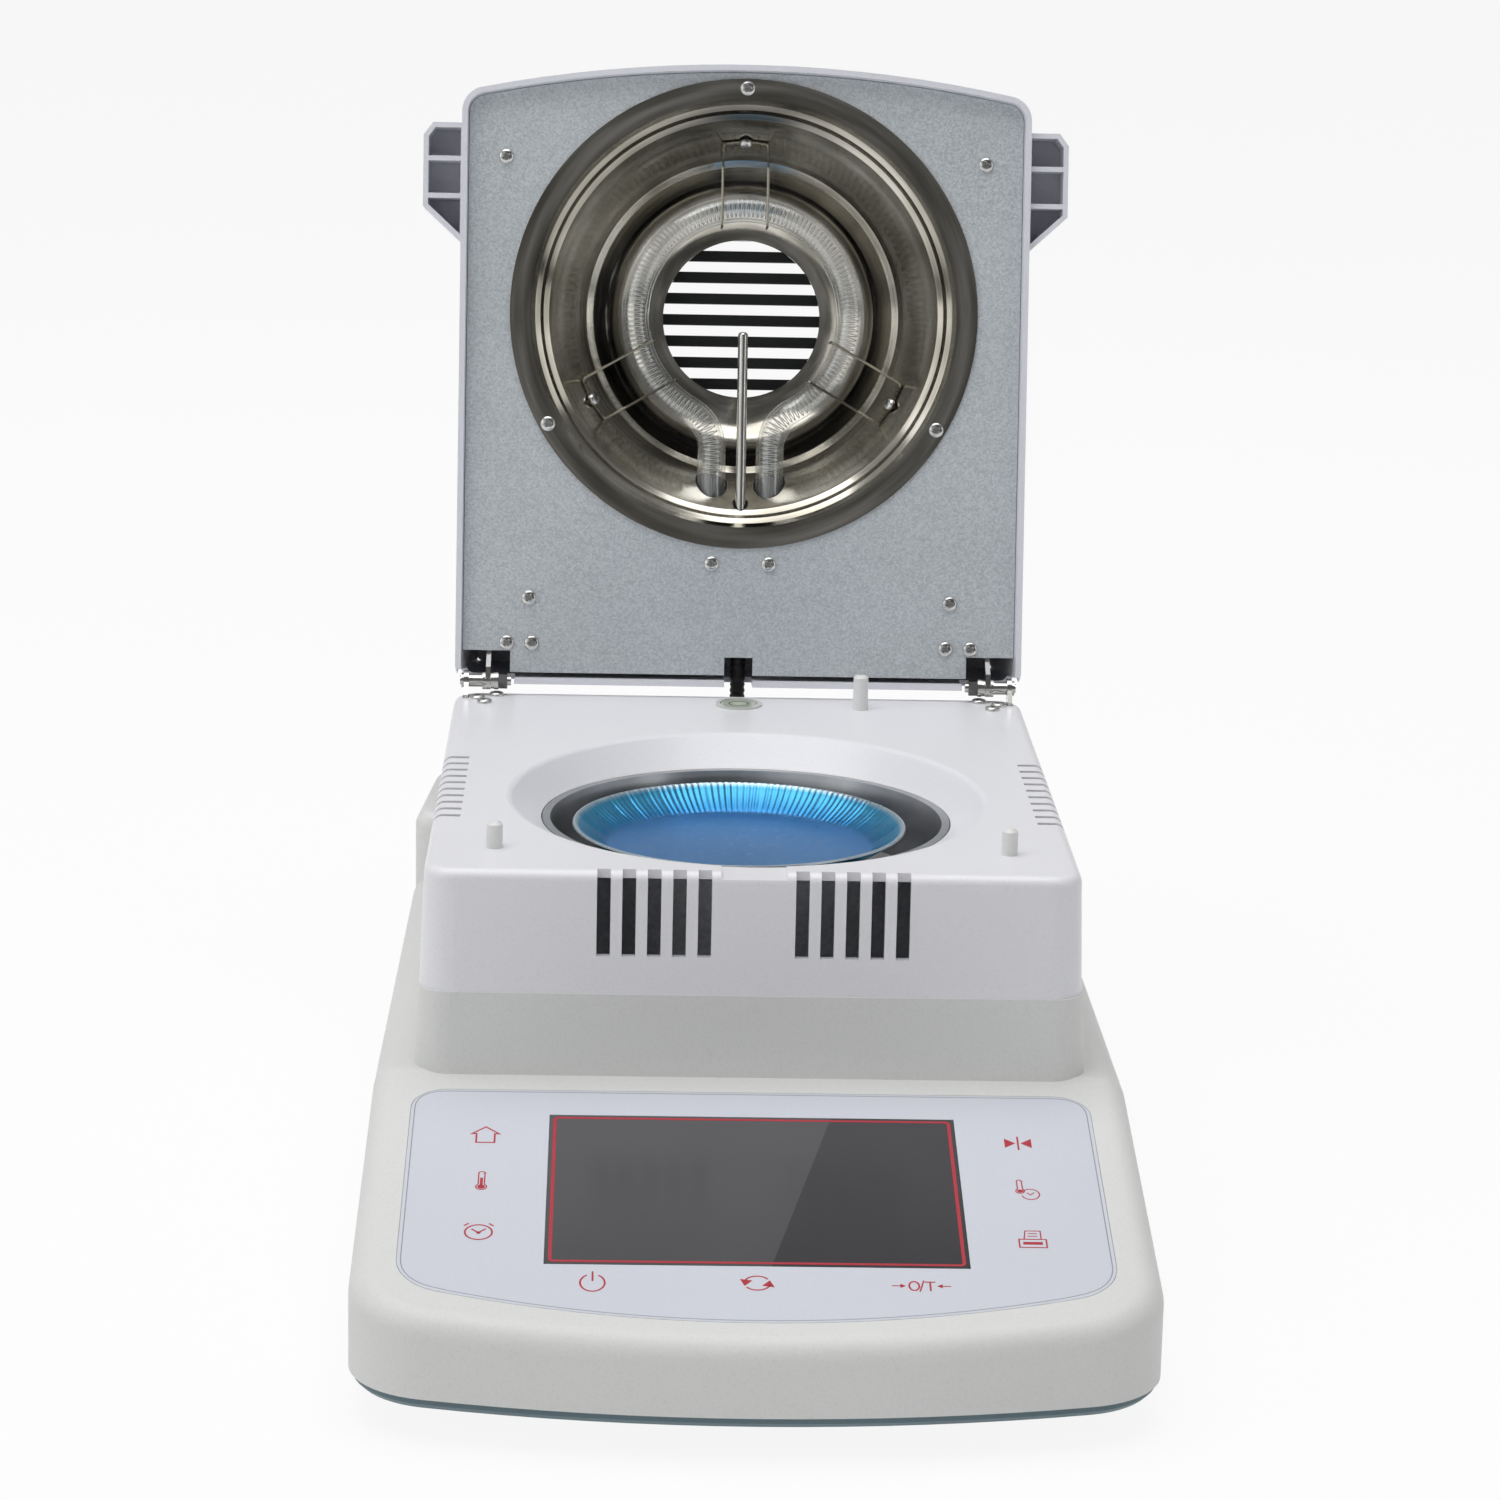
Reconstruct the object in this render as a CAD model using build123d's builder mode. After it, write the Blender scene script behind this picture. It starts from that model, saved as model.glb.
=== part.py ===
from build123d import *
import math
import os

os.makedirs("parts", exist_ok=True)

# Millimetres. X runs to the right, Y to the rear, Z up. The origin is on the table,
# under the middle of the footprint that the object has with its lid open.

# Base
wall = 2.8
base_half_width = 106.5
base_front_y = -222.0
base_side_front_y = -206.0
base_waist_y = 115.0
base_waist_half_width = 104.6
base_rear_y = 182.0
base_rear_half_width = 99.5
base_corner_r = 26.0
base_bottom_z = 12.6
plate_bottom_z = 9.4
ledge_z = 61.5
panel_start_y = -88.0
panel_slope = 12.3
hump_front_y = 115.6
hump_top_z = 82.3
plinth_top_z = 84.5

# Heating chamber
chamber_half_width = 93.3
chamber_front_y = -89.3
chamber_rear_y = 133.8
chamber_top_z = 119.5
chamber_draft = 2.1
chamber_corner_r = 10.0
chamber_wall = 2.6
funnel_half_width = 70.5
funnel_half_depth = 80.0
pan_y = 8.6
pan_shift_x = -2.0
dish_rim_r = 59.7
dish_rim_z = 110.5

# Lid. Its own plane has its origin on the hinge axis, X to the right, Y along the
# lid to the free edge, and Z towards the chamber side.
hinge_y = 129.0
hinge_z = 124.0
lean = 10.5
lid_plane = Plane(
    origin=(0, hinge_y, hinge_z),
    x_dir=(1, 0, 0),
    z_dir=(0, -math.cos(math.radians(lean)), math.sin(math.radians(lean))),
)
lid_half_width = 92.0
lid_edge = -1.0
lid_side_top = 190.0
lid_mid_top = 200.0
rim_level = 0.8
shell_depth = 56.0
plate_level = -3.2
plate_thick = 1.2
lamp_centre = 119.9
lamp_level = -18.0
lamp_ring_r = 35.3
lamp_tube_r = 4.6
lamp_leg_x = 9.5
flange_r = 75.9
chimney_r = 26.0

panel_plane = Plane(
    origin=(0, panel_start_y, ledge_z),
    x_dir=(1, 0, 0),
    z_dir=(0, -math.sin(math.radians(panel_slope)), math.cos(math.radians(panel_slope))),
)


def save(part, name):
    part.label = name
    export_step(part, "parts/" + name + ".step")


def base_outline(inset):
    """Plan of the base: a bowed front, long sides that close towards the rear."""
    with BuildSketch() as outline:
        with BuildLine():
            front = ThreePointArc(
                (-base_half_width, base_side_front_y),
                (0, base_front_y),
                (base_half_width, base_side_front_y),
            )
            Polyline(
                front @ 1,
                (base_waist_half_width, base_waist_y),
                (base_rear_half_width, base_rear_y),
                (-base_rear_half_width, base_rear_y),
                (-base_waist_half_width, base_waist_y),
                front @ 0,
            )
        make_face()
        fillet(outline.vertices().group_by(Axis.Y)[0], base_corner_r)
        fillet(outline.vertices().group_by(Axis.Y)[-1], 12)
        if inset:
            offset(amount=-inset)
    return outline.sketch


def rounded_block(half_width, front_y, rear_y, low_z, high_z, radius, taper=0.0):
    """An upright block with round corners and drafted sides."""
    with BuildPart() as block:
        with BuildSketch(Plane.XY.offset(low_z)):
            with Locations((0, (front_y + rear_y) / 2)):
                RectangleRounded(2 * half_width, rear_y - front_y, radius)
        extrude(amount=high_z - low_z, taper=taper)
    return block.part


def drop_at(y):
    """Height of the sloping panel over a place in front of the chamber."""
    return ledge_z + (y - panel_start_y) * math.tan(math.radians(panel_slope))


def base_body(inset, low_z, drop):
    """The low part of the base under its sloping panel and level ledge."""
    with BuildPart() as body:
        with BuildSketch(Plane.XY.offset(low_z)):
            add(base_outline(inset))
        extrude(amount=ledge_z + 20 - low_z)
        with BuildSketch(Plane.YZ):
            with BuildLine():
                Polyline(
                    (-240, low_z),
                    (-240, drop_at(-240) - drop),
                    (panel_start_y, ledge_z - drop),
                    (200, ledge_z - drop),
                    (200, low_z),
                    close=True,
                )
            make_face()
        extrude(amount=120, both=True, mode=Mode.INTERSECT)
    return body.part


def hump_body(inset, low_z, high_z):
    """The raised rear of the base, as wide as the base itself."""
    with BuildPart() as body:
        with BuildSketch(Plane.XY.offset(low_z)) as plan:
            add(base_outline(inset))
            with Locations((0, hump_front_y + inset - 250)):
                Rectangle(300, 500, mode=Mode.SUBTRACT)
        extrude(amount=high_z - low_z)
    return body.part


# Base cover
panel_half_width = 94.0
panel_top = -11.0
panel_side_end = -109.5
panel_bottom = -126.4
panel_corner_r = 10.0
panel_thick = 0.5
window_width = 111.2
window_depth = 75.5
window_mid = -62.0
window_thick = 1.8
foot_x = 78.0
front_foot_y = -170.0
rear_foot_y = 140.0
rear_port_z = 46.0
inlet_x = 62.0
rocker_x = 22.0
fuse_x = -8.0
serial_x = -58.0
screw_r = 1.5
stud_r = 3.0
lead_r = 2.6
lead_exit_y = 144.0
board_drop = window_thick + 4.0
board_width = 130.0
board_depth = 66.0
floor_plate_z = plate_bottom_z + 1.2
boss_r = 4.0
boss_rows = [
    (92.0, -120.0, drop_at(-120) - 1.6),
    (92.0, 56.0, ledge_z - 1),
    (88.0, 158.0, hump_top_z - 1),
]
base_screw_spots = [(side * x, y) for side in (-1, 1) for x, y, top_z in boss_rows]


def panel_outline(grow):
    """The control panel sheet: straight top and sides over a bowed lower edge."""
    with BuildSketch() as outline:
        with BuildLine():
            lower = ThreePointArc(
                (-panel_half_width, panel_side_end),
                (0, panel_bottom),
                (panel_half_width, panel_side_end),
            )
            Polyline(
                lower @ 1,
                (panel_half_width, panel_top),
                (-panel_half_width, panel_top),
                lower @ 0,
            )
        make_face()
        fillet(outline.vertices().group_by(Axis.Y)[-1], panel_corner_r)
        fillet(outline.vertices().group_by(Axis.Y)[0], 1.6 * panel_corner_r)
        if grow:
            offset(amount=grow)
    return outline.sketch


with BuildPart() as hump:
    add(hump_body(0, base_bottom_z, hump_top_z))
    fillet(hump.edges().filter_by(Axis.Z).group_by(Axis.Y)[0], 6)
    fillet(hump.faces().sort_by(Axis.Z)[-1].edges(), 4.5)

with BuildPart() as base_cover:
    add(base_body(0, base_bottom_z, 0))
    top_faces = base_cover.faces().filter_by(lambda f: f.normal_at().Z > 0.9)
    rim_edges = top_faces.edges().filter_by(
        lambda e: abs(e.center().Y - panel_start_y) > 1 and e.center().Y < 180
    )
    fillet(rim_edges, 7)
    add(hump.part)
    add(
        rounded_block(
            chamber_half_width + 1.3,
            chamber_front_y - 1.3,
            chamber_rear_y + 1.3,
            ledge_z - 1,
            plinth_top_z,
            chamber_corner_r,
            2.5,
        )
    )
    add(base_body(wall, base_bottom_z - 1, wall), mode=Mode.SUBTRACT)
    add(hump_body(wall, base_bottom_z - 1, hump_top_z - wall), mode=Mode.SUBTRACT)
    add(
        rounded_block(
            chamber_half_width - wall - 0.5,
            chamber_front_y + wall,
            chamber_rear_y - wall,
            ledge_z,
            plinth_top_z + 1,
            chamber_corner_r - wall,
        ),
        mode=Mode.SUBTRACT,
    )
    with BuildSketch(Plane.XY.offset(ledge_z - wall - 1)):
        with Locations((0, 20)):
            RectangleRounded(140, 160, 20)
    extrude(amount=wall + 2, mode=Mode.SUBTRACT)
    with BuildSketch(panel_plane):
        add(panel_outline(0.2))
    extrude(amount=-panel_thick, mode=Mode.SUBTRACT)
    with BuildSketch(panel_plane):
        with Locations((0, window_mid)):
            Rectangle(window_width + 0.4, window_depth + 0.4)
    extrude(amount=-window_thick, mode=Mode.SUBTRACT)
    with BuildSketch(panel_plane):
        with Locations((0, window_mid)):
            Rectangle(window_width - 5, window_depth - 5)
    extrude(amount=-12, mode=Mode.SUBTRACT)
    with BuildSketch(Plane.XZ.offset(-base_rear_y - 1)):
        with Locations((inlet_x, rear_port_z)):
            Rectangle(28.4, 20.8)
        with Locations((rocker_x, rear_port_z)):
            Rectangle(19.6, 13.4)
        with Locations((fuse_x, rear_port_z)):
            Circle(6.4)
        with Locations((serial_x, rear_port_z)):
            Rectangle(20, 11)
    extrude(amount=10, mode=Mode.SUBTRACT)
    with BuildSketch(Plane.XY.offset(hump_top_z - 5)):
        with Locations((0, lead_exit_y)):
            Circle(lead_r + 0.3)
    extrude(amount=10, mode=Mode.SUBTRACT)
    # Bosses for the screws of the bottom plate, and posts for the main board
    for x, y, top_z in boss_rows:
        with BuildSketch(Plane.XY.offset(floor_plate_z)):
            with Locations((-x, y), (x, y)):
                Circle(boss_r)
                Circle(screw_r + 0.05, mode=Mode.SUBTRACT)
        extrude(amount=top_z - floor_plate_z)
    with BuildSketch(panel_plane.offset(-board_drop)):
        with Locations((0, window_mid)):
            with GridLocations(board_width - 8, board_depth - 8, 2, 2):
                Circle(2.5)
    extrude(amount=board_drop - 1.5)
save(base_cover.part, "base_cover")

# Bottom plate
with BuildPart() as bottom_plate:
    with BuildSketch(Plane.XY.offset(plate_bottom_z)):
        add(base_outline(1.2))
    extrude(amount=base_bottom_z - plate_bottom_z)
    chamfer(bottom_plate.faces().sort_by(Axis.Z)[0].edges(), 1.4)
    with BuildSketch(Plane.XY.offset(base_bottom_z)):
        add(base_outline(6))
    extrude(amount=floor_plate_z - base_bottom_z, mode=Mode.SUBTRACT)
    with BuildSketch(Plane.XY.offset(plate_bottom_z)):
        with Locations((-foot_x, rear_foot_y), (foot_x, rear_foot_y)):
            Circle(7)
    extrude(amount=9)
    with BuildSketch(Plane.XY.offset(plate_bottom_z - 1)):
        with Locations((-foot_x, rear_foot_y), (foot_x, rear_foot_y)):
            Circle(stud_r + 0.05)
        with Locations(base_screw_spots):
            Circle(screw_r + 0.1)
        with GridLocations(10, 0, 11, 1):
            with Locations((0, -20)):
                SlotOverall(36, 2.6, rotation=90)
    extrude(amount=12, mode=Mode.SUBTRACT)
save(bottom_plate.part, "bottom_plate")

with BuildPart() as base_screws:
    with BuildSketch(Plane.XY.offset(plate_bottom_z - 1.8)):
        with Locations(base_screw_spots):
            Circle(2.8)
    extrude(amount=1.8)
    with BuildSketch(Plane.XY.offset(plate_bottom_z)):
        with Locations(base_screw_spots):
            Circle(screw_r)
    extrude(amount=14)
save(base_screws.part, "base_screws")

with BuildPart() as front_feet:
    with BuildSketch() as foot_plan:
        with Locations((-foot_x, front_foot_y), (foot_x, front_foot_y)):
            Circle(9)
    extrude(amount=plate_bottom_z, taper=-4)
    chamfer(front_feet.faces().group_by(Axis.Z)[0].edges(), 1)
save(front_feet.part, "front_feet")

# Levelling feet: a wheel under a threaded stud on each side
wheel_r = 11.0
wheel_thick = 6.4
for side, side_name in ((-1, "left"), (1, "right")):
    with BuildPart() as stud:
        with BuildSketch(Plane.XY.offset(wheel_thick)):
            with Locations((side * foot_x, rear_foot_y)):
                Circle(stud_r)
        extrude(amount=20)
        chamfer(stud.edges().sort_by(Axis.Z)[-1], 0.6)
    save(stud.part, "foot_stud_" + side_name)
    with BuildPart() as wheel:
        with BuildSketch(Plane.XY):
            with Locations((side * foot_x, rear_foot_y)):
                Circle(wheel_r)
        extrude(amount=wheel_thick)
        chamfer(wheel.faces().filter_by(Plane.XY).edges(), 1)
        with BuildSketch(Plane.XY.offset(1.2)):
            with Locations((side * foot_x, rear_foot_y)):
                with PolarLocations(wheel_r + 0.4, 16):
                    Circle(1)
        extrude(amount=4, mode=Mode.SUBTRACT)
    save(wheel.part, "foot_wheel_" + side_name)

# Control panel and display
with BuildPart() as control_panel:
    with BuildSketch(panel_plane):
        add(panel_outline(0))
        with Locations((0, window_mid)):
            Rectangle(window_width + 0.3, window_depth + 0.3, mode=Mode.SUBTRACT)
    extrude(amount=-panel_thick)
save(control_panel.part, "control_panel")

with BuildPart() as display_window:
    with BuildSketch(panel_plane):
        with Locations((0, window_mid)):
            RectangleRounded(window_width, window_depth, 0.8)
    extrude(amount=-window_thick)
save(display_window.part, "display_window")

with BuildPart() as display_module:
    with BuildSketch(panel_plane.offset(-window_thick)):
        with Locations((0, window_mid)):
            Rectangle(window_width - 7, window_depth - 7)
    extrude(amount=window_thick - board_drop)
save(display_module.part, "display_module")

with BuildPart() as main_board:
    with BuildSketch(panel_plane.offset(-board_drop)):
        with Locations((0, window_mid)):
            Rectangle(board_width, board_depth)
    extrude(amount=-1.6)
    with BuildSketch(panel_plane.offset(-board_drop - 1.6)):
        with Locations((-30, window_mid + 10), (24, window_mid - 8), (45, window_mid + 16)):
            Rectangle(16, 14)
    extrude(amount=-2.5)
save(main_board.part, "main_board")

with BuildPart() as power_board:
    with BuildSketch(Plane.XY.offset(20)):
        with Locations((45, 95)):
            Rectangle(90, 60)
    extrude(amount=1.6)
    with BuildSketch(Plane.XY.offset(21.6)):
        with Locations((62, 95)):
            Rectangle(42, 36)
    extrude(amount=30)
    fillet(power_board.edges().filter_by(Axis.Z).group_by(Axis.X)[-1], 3)
    with BuildSketch(Plane.XY.offset(floor_plate_z)):
        with Locations((45, 95)):
            with GridLocations(78, 48, 2, 2):
                Circle(3)
    extrude(amount=20 - floor_plate_z)
save(power_board.part, "power_board")

# Weighing: a double bending beam on a block, with the stem that carries the pan
beam_low_z = 30.0
beam_high_z = 46.0
beam_length = 90.0
stem_r = 4.0
pin_r = 3.0
hub_z = 92.0
pin_top_z = 99.0

with BuildPart() as load_cell_bracket:
    with BuildSketch(Plane.XY.offset(floor_plate_z)):
        with Locations((-beam_length + 12, pan_y)):
            Rectangle(40, 40)
    extrude(amount=4)
    with BuildSketch(Plane.XY.offset(floor_plate_z + 4)):
        with Locations((-beam_length + 12, pan_y)):
            Rectangle(26, 26)
    extrude(amount=beam_low_z - floor_plate_z - 4)
save(load_cell_bracket.part, "load_cell_bracket")

with BuildPart() as load_cell:
    with BuildSketch(Plane.XZ.offset(-pan_y - 10)):
        with Locations((-beam_length / 2 + 8, (beam_low_z + beam_high_z) / 2)):
            Rectangle(beam_length + 8, beam_high_z - beam_low_z)
            with GridLocations(16, 0, 2, 1):
                Circle(5.6, mode=Mode.SUBTRACT)
            Rectangle(20, 5, mode=Mode.SUBTRACT)
    extrude(amount=20)
save(load_cell.part, "load_cell")

with BuildPart() as load_stem:
    with BuildSketch(Plane.XY.offset(beam_high_z)):
        with Locations((0, pan_y)):
            Circle(7)
    extrude(amount=3)
    with BuildSketch(Plane.XY.offset(beam_high_z + 3)):
        with Locations((0, pan_y)):
            Circle(stem_r)
    extrude(amount=hub_z - beam_high_z - 3)
    with BuildSketch(Plane.XY.offset(hub_z)):
        with Locations((0, pan_y)):
            Circle(pin_r)
    extrude(amount=pin_top_z - hub_z - 0.6)
    chamfer(load_stem.edges().sort_by(Axis.Z)[-1], 0.8)
save(load_stem.part, "load_stem")

# Heating chamber cover
dish_hole_r = dish_rim_r + 1.6
slot_width = 3.8
slot_pitch = 7.05
first_slot_x = 13.6
slot_low_z = 95.3
notch_half_width = 9.2
notch_z = 117.7
vent_pitch = 7.84
vent_mid_y = 7.2
rest_pin_x = 73.0
rest_pin_y = -63.0
rest_pin_r = 2.3
rest_pin_top_z = 127.2
plunger_x = 39.2
plunger_y = 115.6
plunger_r = 2.4
plunger_top_z = 130.4
level_y = 118.6
level_r = 7.5
hinge_screw_spots = [(84.4, 122.4), (78.4, 127.2), (82.0, 116.8)]
ear_x = 88.2
ear_thick = 1.5
ear_low_z = chamber_top_z - chamber_wall - 1.5
ear_front_y = hinge_y - 5.8
ear_rear_y = hinge_y - 1.8
pin_shaft_r = 1.5

with BuildPart() as chamber_cover:
    add(
        rounded_block(
            chamber_half_width,
            chamber_front_y,
            chamber_rear_y,
            plinth_top_z,
            chamber_top_z,
            chamber_corner_r,
            chamber_draft,
        )
    )
    fillet(chamber_cover.faces().sort_by(Axis.Z)[-1].edges(), 3)
    add(
        rounded_block(
            chamber_half_width - chamber_wall,
            chamber_front_y + chamber_wall,
            chamber_rear_y - chamber_wall,
            plinth_top_z,
            chamber_top_z - chamber_wall,
            chamber_corner_r - chamber_wall,
            chamber_draft,
        ),
        mode=Mode.SUBTRACT,
    )
    with BuildSketch(Plane.XY.offset(chamber_top_z - chamber_wall)):
        Ellipse(funnel_half_width + 2, funnel_half_depth + 2)
    with BuildSketch(Plane.XY.offset(dish_rim_z - chamber_wall)):
        with Locations((0, pan_y)):
            Circle(dish_rim_r + 4)
    loft()
    with BuildSketch(Plane.XY.offset(chamber_top_z)):
        Ellipse(funnel_half_width, funnel_half_depth)
    with BuildSketch(Plane.XY.offset(dish_rim_z)):
        with Locations((0, pan_y)):
            Circle(dish_hole_r)
    loft(mode=Mode.SUBTRACT)
    with BuildSketch(Plane.XY.offset(dish_rim_z + 0.1)):
        with Locations((0, pan_y)):
            Circle(dish_hole_r)
    extrude(amount=-6, mode=Mode.SUBTRACT)
    lip = chamber_cover.faces().filter_by(Plane.XY).sort_by(Axis.Z)[-1].inner_wires().edges()
    fillet(lip, 2.6)
    # Guide of the switch plunger and bosses under the top
    with BuildSketch(Plane.XY.offset(chamber_top_z - chamber_wall - 5)):
        with Locations((plunger_x, plunger_y)):
            Circle(5)
    extrude(amount=5.5)
    slot_middles = [side * (first_slot_x + slot_pitch * step) for side in (-1, 1) for step in range(5)]
    with BuildSketch(Plane.XY.offset(slot_low_z)):
        with Locations([(x, chamber_front_y) for x in slot_middles]):
            Rectangle(slot_width, 9.4)
    extrude(amount=30, mode=Mode.SUBTRACT)
    with BuildSketch(Plane.XY.offset(notch_z)):
        with Locations((0, chamber_front_y + 8)):
            Rectangle(2 * notch_half_width, 20)
    extrude(amount=5, mode=Mode.SUBTRACT)
    with BuildSketch(Plane.XY.offset(98)):
        with Locations((-89, vent_mid_y), (89, vent_mid_y)):
            with GridLocations(0, vent_pitch, 1, 10):
                Rectangle(10, 2.4)
    extrude(amount=30, mode=Mode.SUBTRACT)
    with BuildSketch(Plane.XY.offset(chamber_top_z - 10)):
        with Locations((plunger_x, plunger_y)):
            Circle(plunger_r + 0.05)
        with Locations((0, level_y)):
            Circle(level_r - 0.5)
        with Locations((-rest_pin_x, rest_pin_y), (rest_pin_x, rest_pin_y)):
            Circle(1.6)
        with Locations([(side * x, y) for side in (-1, 1) for x, y in hinge_screw_spots]):
            Circle(1.3)
        with Locations([(side * ear_x, (ear_front_y + ear_rear_y) / 2) for side in (-1, 1)]):
            Rectangle(ear_thick + 0.6, ear_rear_y - ear_front_y + 0.4)
    extrude(amount=12, mode=Mode.SUBTRACT)
save(chamber_cover.part, "chamber_cover")

with BuildPart() as rest_pins:
    with BuildSketch(Plane.XY.offset(chamber_top_z)):
        with Locations((-rest_pin_x, rest_pin_y), (rest_pin_x, rest_pin_y)):
            Circle(rest_pin_r)
    extrude(amount=rest_pin_top_z - chamber_top_z)
    chamfer(rest_pins.edges().group_by(Axis.Z)[-1], 0.9)
    with BuildSketch(Plane.XY.offset(chamber_top_z)):
        with Locations((-rest_pin_x, rest_pin_y), (rest_pin_x, rest_pin_y)):
            Circle(1.5)
    extrude(amount=-5)
save(rest_pins.part, "rest_pins")

# Steel floor, liner and dish round the pan
floor_z = 72.0
with BuildPart() as chamber_floor:
    with BuildSketch(Plane.XY.offset(floor_z)):
        with Locations((0, 22.2)):
            RectangleRounded(176, 206, 8)
        with Locations((0, pan_y)):
            Circle(12, mode=Mode.SUBTRACT)
            with PolarLocations(72, 6):
                Circle(4, mode=Mode.SUBTRACT)
    extrude(amount=1)
    with BuildSketch(Plane.XY.offset(ledge_z)):
        with Locations([(x, y) for x in (-86, 86) for y in (-75, 108)]):
            Circle(3.4)
    extrude(amount=floor_z - ledge_z)
save(chamber_floor.part, "chamber_floor")

liner_r = 61.0
liner_top_z = dish_rim_z - 3.3
with BuildPart() as chamber_liner:
    with BuildSketch(Plane.XY.offset(floor_z + 1)):
        with Locations((0, pan_y)):
            Circle(liner_r + 5)
            Circle(liner_r - 0.8, mode=Mode.SUBTRACT)
    extrude(amount=1)
    with BuildSketch(Plane.XY.offset(floor_z + 2)):
        with Locations((0, pan_y)):
            Circle(liner_r)
            Circle(liner_r - 0.8, mode=Mode.SUBTRACT)
    extrude(amount=liner_top_z - floor_z - 2)
save(chamber_liner.part, "chamber_liner")

with BuildPart() as heat_shield_dish:
    with BuildSketch(Plane.YZ):
        with BuildLine() as dish_line:
            Polyline(
                (pan_y + 10, 87),
                (pan_y + 49, 87),
                (pan_y + 55.5, 91),
                (pan_y + 58.9, dish_rim_z - 0.35),
                (pan_y + liner_r - 0.4, dish_rim_z - 0.35),
                (pan_y + liner_r - 0.4, liner_top_z),
            )
        trace(line_width=0.7)
    revolve(axis=Axis((0, pan_y, 0), (0, 0, 1)))
save(heat_shield_dish.part, "heat_shield_dish")

# Pan support: a hub with four arms whose tips turn up
arm_z = pin_top_z + 1.2
sheet_arm = 1.2
with BuildPart() as pan_support:
    with BuildSketch(Plane.XY.offset(hub_z)):
        with Locations((0, pan_y)):
            Circle(6.5)
    extrude(amount=arm_z + sheet_arm - hub_z)
    with BuildSketch(Plane.XY.offset(arm_z)):
        with Locations((0, pan_y)):
            Rectangle(7, 108, rotation=45)
            Rectangle(7, 108, rotation=-45)
    extrude(amount=sheet_arm)
    with BuildSketch(Plane.XY.offset(arm_z)):
        with Locations((0, pan_y)):
            with PolarLocations(53.4, 4, start_angle=45):
                Rectangle(sheet_arm, 7)
    extrude(amount=4.2)
    with BuildSketch(Plane.XY.offset(hub_z)):
        with Locations((0, pan_y)):
            Circle(pin_r + 0.05)
    extrude(amount=pin_top_z - hub_z, mode=Mode.SUBTRACT)
save(pan_support.part, "pan_support")

# Sample pan: a foil dish with a rolled rim and a stepped floor
pan_rim_r = 50.0
pan_rim_z = 109.4
pan_sheet = 0.5
pan_floor_z = arm_z + sheet_arm + pan_sheet / 2
with BuildPart() as sample_pan:
    with BuildSketch(Plane.XZ.offset(-pan_y)):
        with BuildLine():
            Polyline(
                (pan_shift_x, pan_floor_z),
                (pan_shift_x + 39.5, pan_floor_z),
                (pan_shift_x + 42.5, pan_floor_z + 1.6),
                (pan_shift_x + 45.5, pan_floor_z + 1.8),
                (pan_shift_x + 48.8, pan_rim_z - 0.5),
                (pan_shift_x + 49.7, pan_rim_z - 0.3),
            )
        trace(line_width=pan_sheet)
        split(bisect_by=Plane.YZ.offset(pan_shift_x))
    revolve(axis=Axis((pan_shift_x, pan_y, 0), (0, 0, 1)))
save(sample_pan.part, "sample_pan")

# Lid switch under the chamber cover
plunger_low_z = 103.0
button_z = floor_z + 23.0
spring_wire_r = 0.25
with BuildPart() as switch_plunger:
    with BuildSketch(Plane.XY.offset(plunger_low_z)):
        with Locations((plunger_x, plunger_y)):
            Circle(plunger_r)
    extrude(amount=plunger_top_z - plunger_low_z)
    chamfer(switch_plunger.edges().sort_by(Axis.Z)[-1], 0.5)
    with BuildSketch(Plane.XY.offset(plunger_low_z + 4)):
        with Locations((plunger_x, plunger_y)):
            Circle(4)
    extrude(amount=chamber_top_z - chamber_wall - 5 - plunger_low_z - 4)
save(switch_plunger.part, "switch_plunger")

with BuildPart() as micro_switch:
    with BuildSketch(Plane.XY.offset(floor_z + 1)):
        with Locations((plunger_x, plunger_y)):
            Rectangle(20, 6.6)
    extrude(amount=20)
    with BuildSketch(Plane.XY.offset(button_z - 2)):
        with Locations((plunger_x, plunger_y)):
            Circle(3.2)
    extrude(amount=2)
save(micro_switch.part, "micro_switch")

with BuildPart() as plunger_spring:
    spring_base = Vector(plunger_x, plunger_y, button_z + spring_wire_r)
    spring_height = plunger_low_z - button_z - 2 * spring_wire_r
    with BuildLine(Plane(spring_base)):
        coil = Helix(pitch=spring_height / 3, height=spring_height, radius=1.9)
    with BuildSketch(Plane(origin=coil @ 0, z_dir=coil % 0)):
        RegularPolygon(spring_wire_r, 4)
    sweep()
save(plunger_spring.part, "plunger_spring")

with BuildPart() as level_cup:
    with BuildSketch(Plane.XY.offset(chamber_top_z - 6)):
        with Locations((0, level_y)):
            Circle(level_r - 0.6)
    extrude(amount=6)
    with BuildSketch(Plane.XY.offset(chamber_top_z)):
        with Locations((0, level_y)):
            Circle(level_r)
    extrude(amount=0.7)
    with BuildSketch(Plane.XY.offset(chamber_top_z - 4.5)):
        with Locations((0, level_y)):
            Circle(level_r - 1.4)
    extrude(amount=8, mode=Mode.SUBTRACT)
save(level_cup.part, "level_cup")

with BuildPart() as level_glass:
    with BuildSketch(Plane.XY.offset(chamber_top_z - 4.5)):
        with Locations((0, level_y)):
            Circle(level_r - 1.45)
    extrude(amount=5)
    chamfer(level_glass.edges().sort_by(Axis.Z)[-1], 0.3)
save(level_glass.part, "level_glass")

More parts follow.
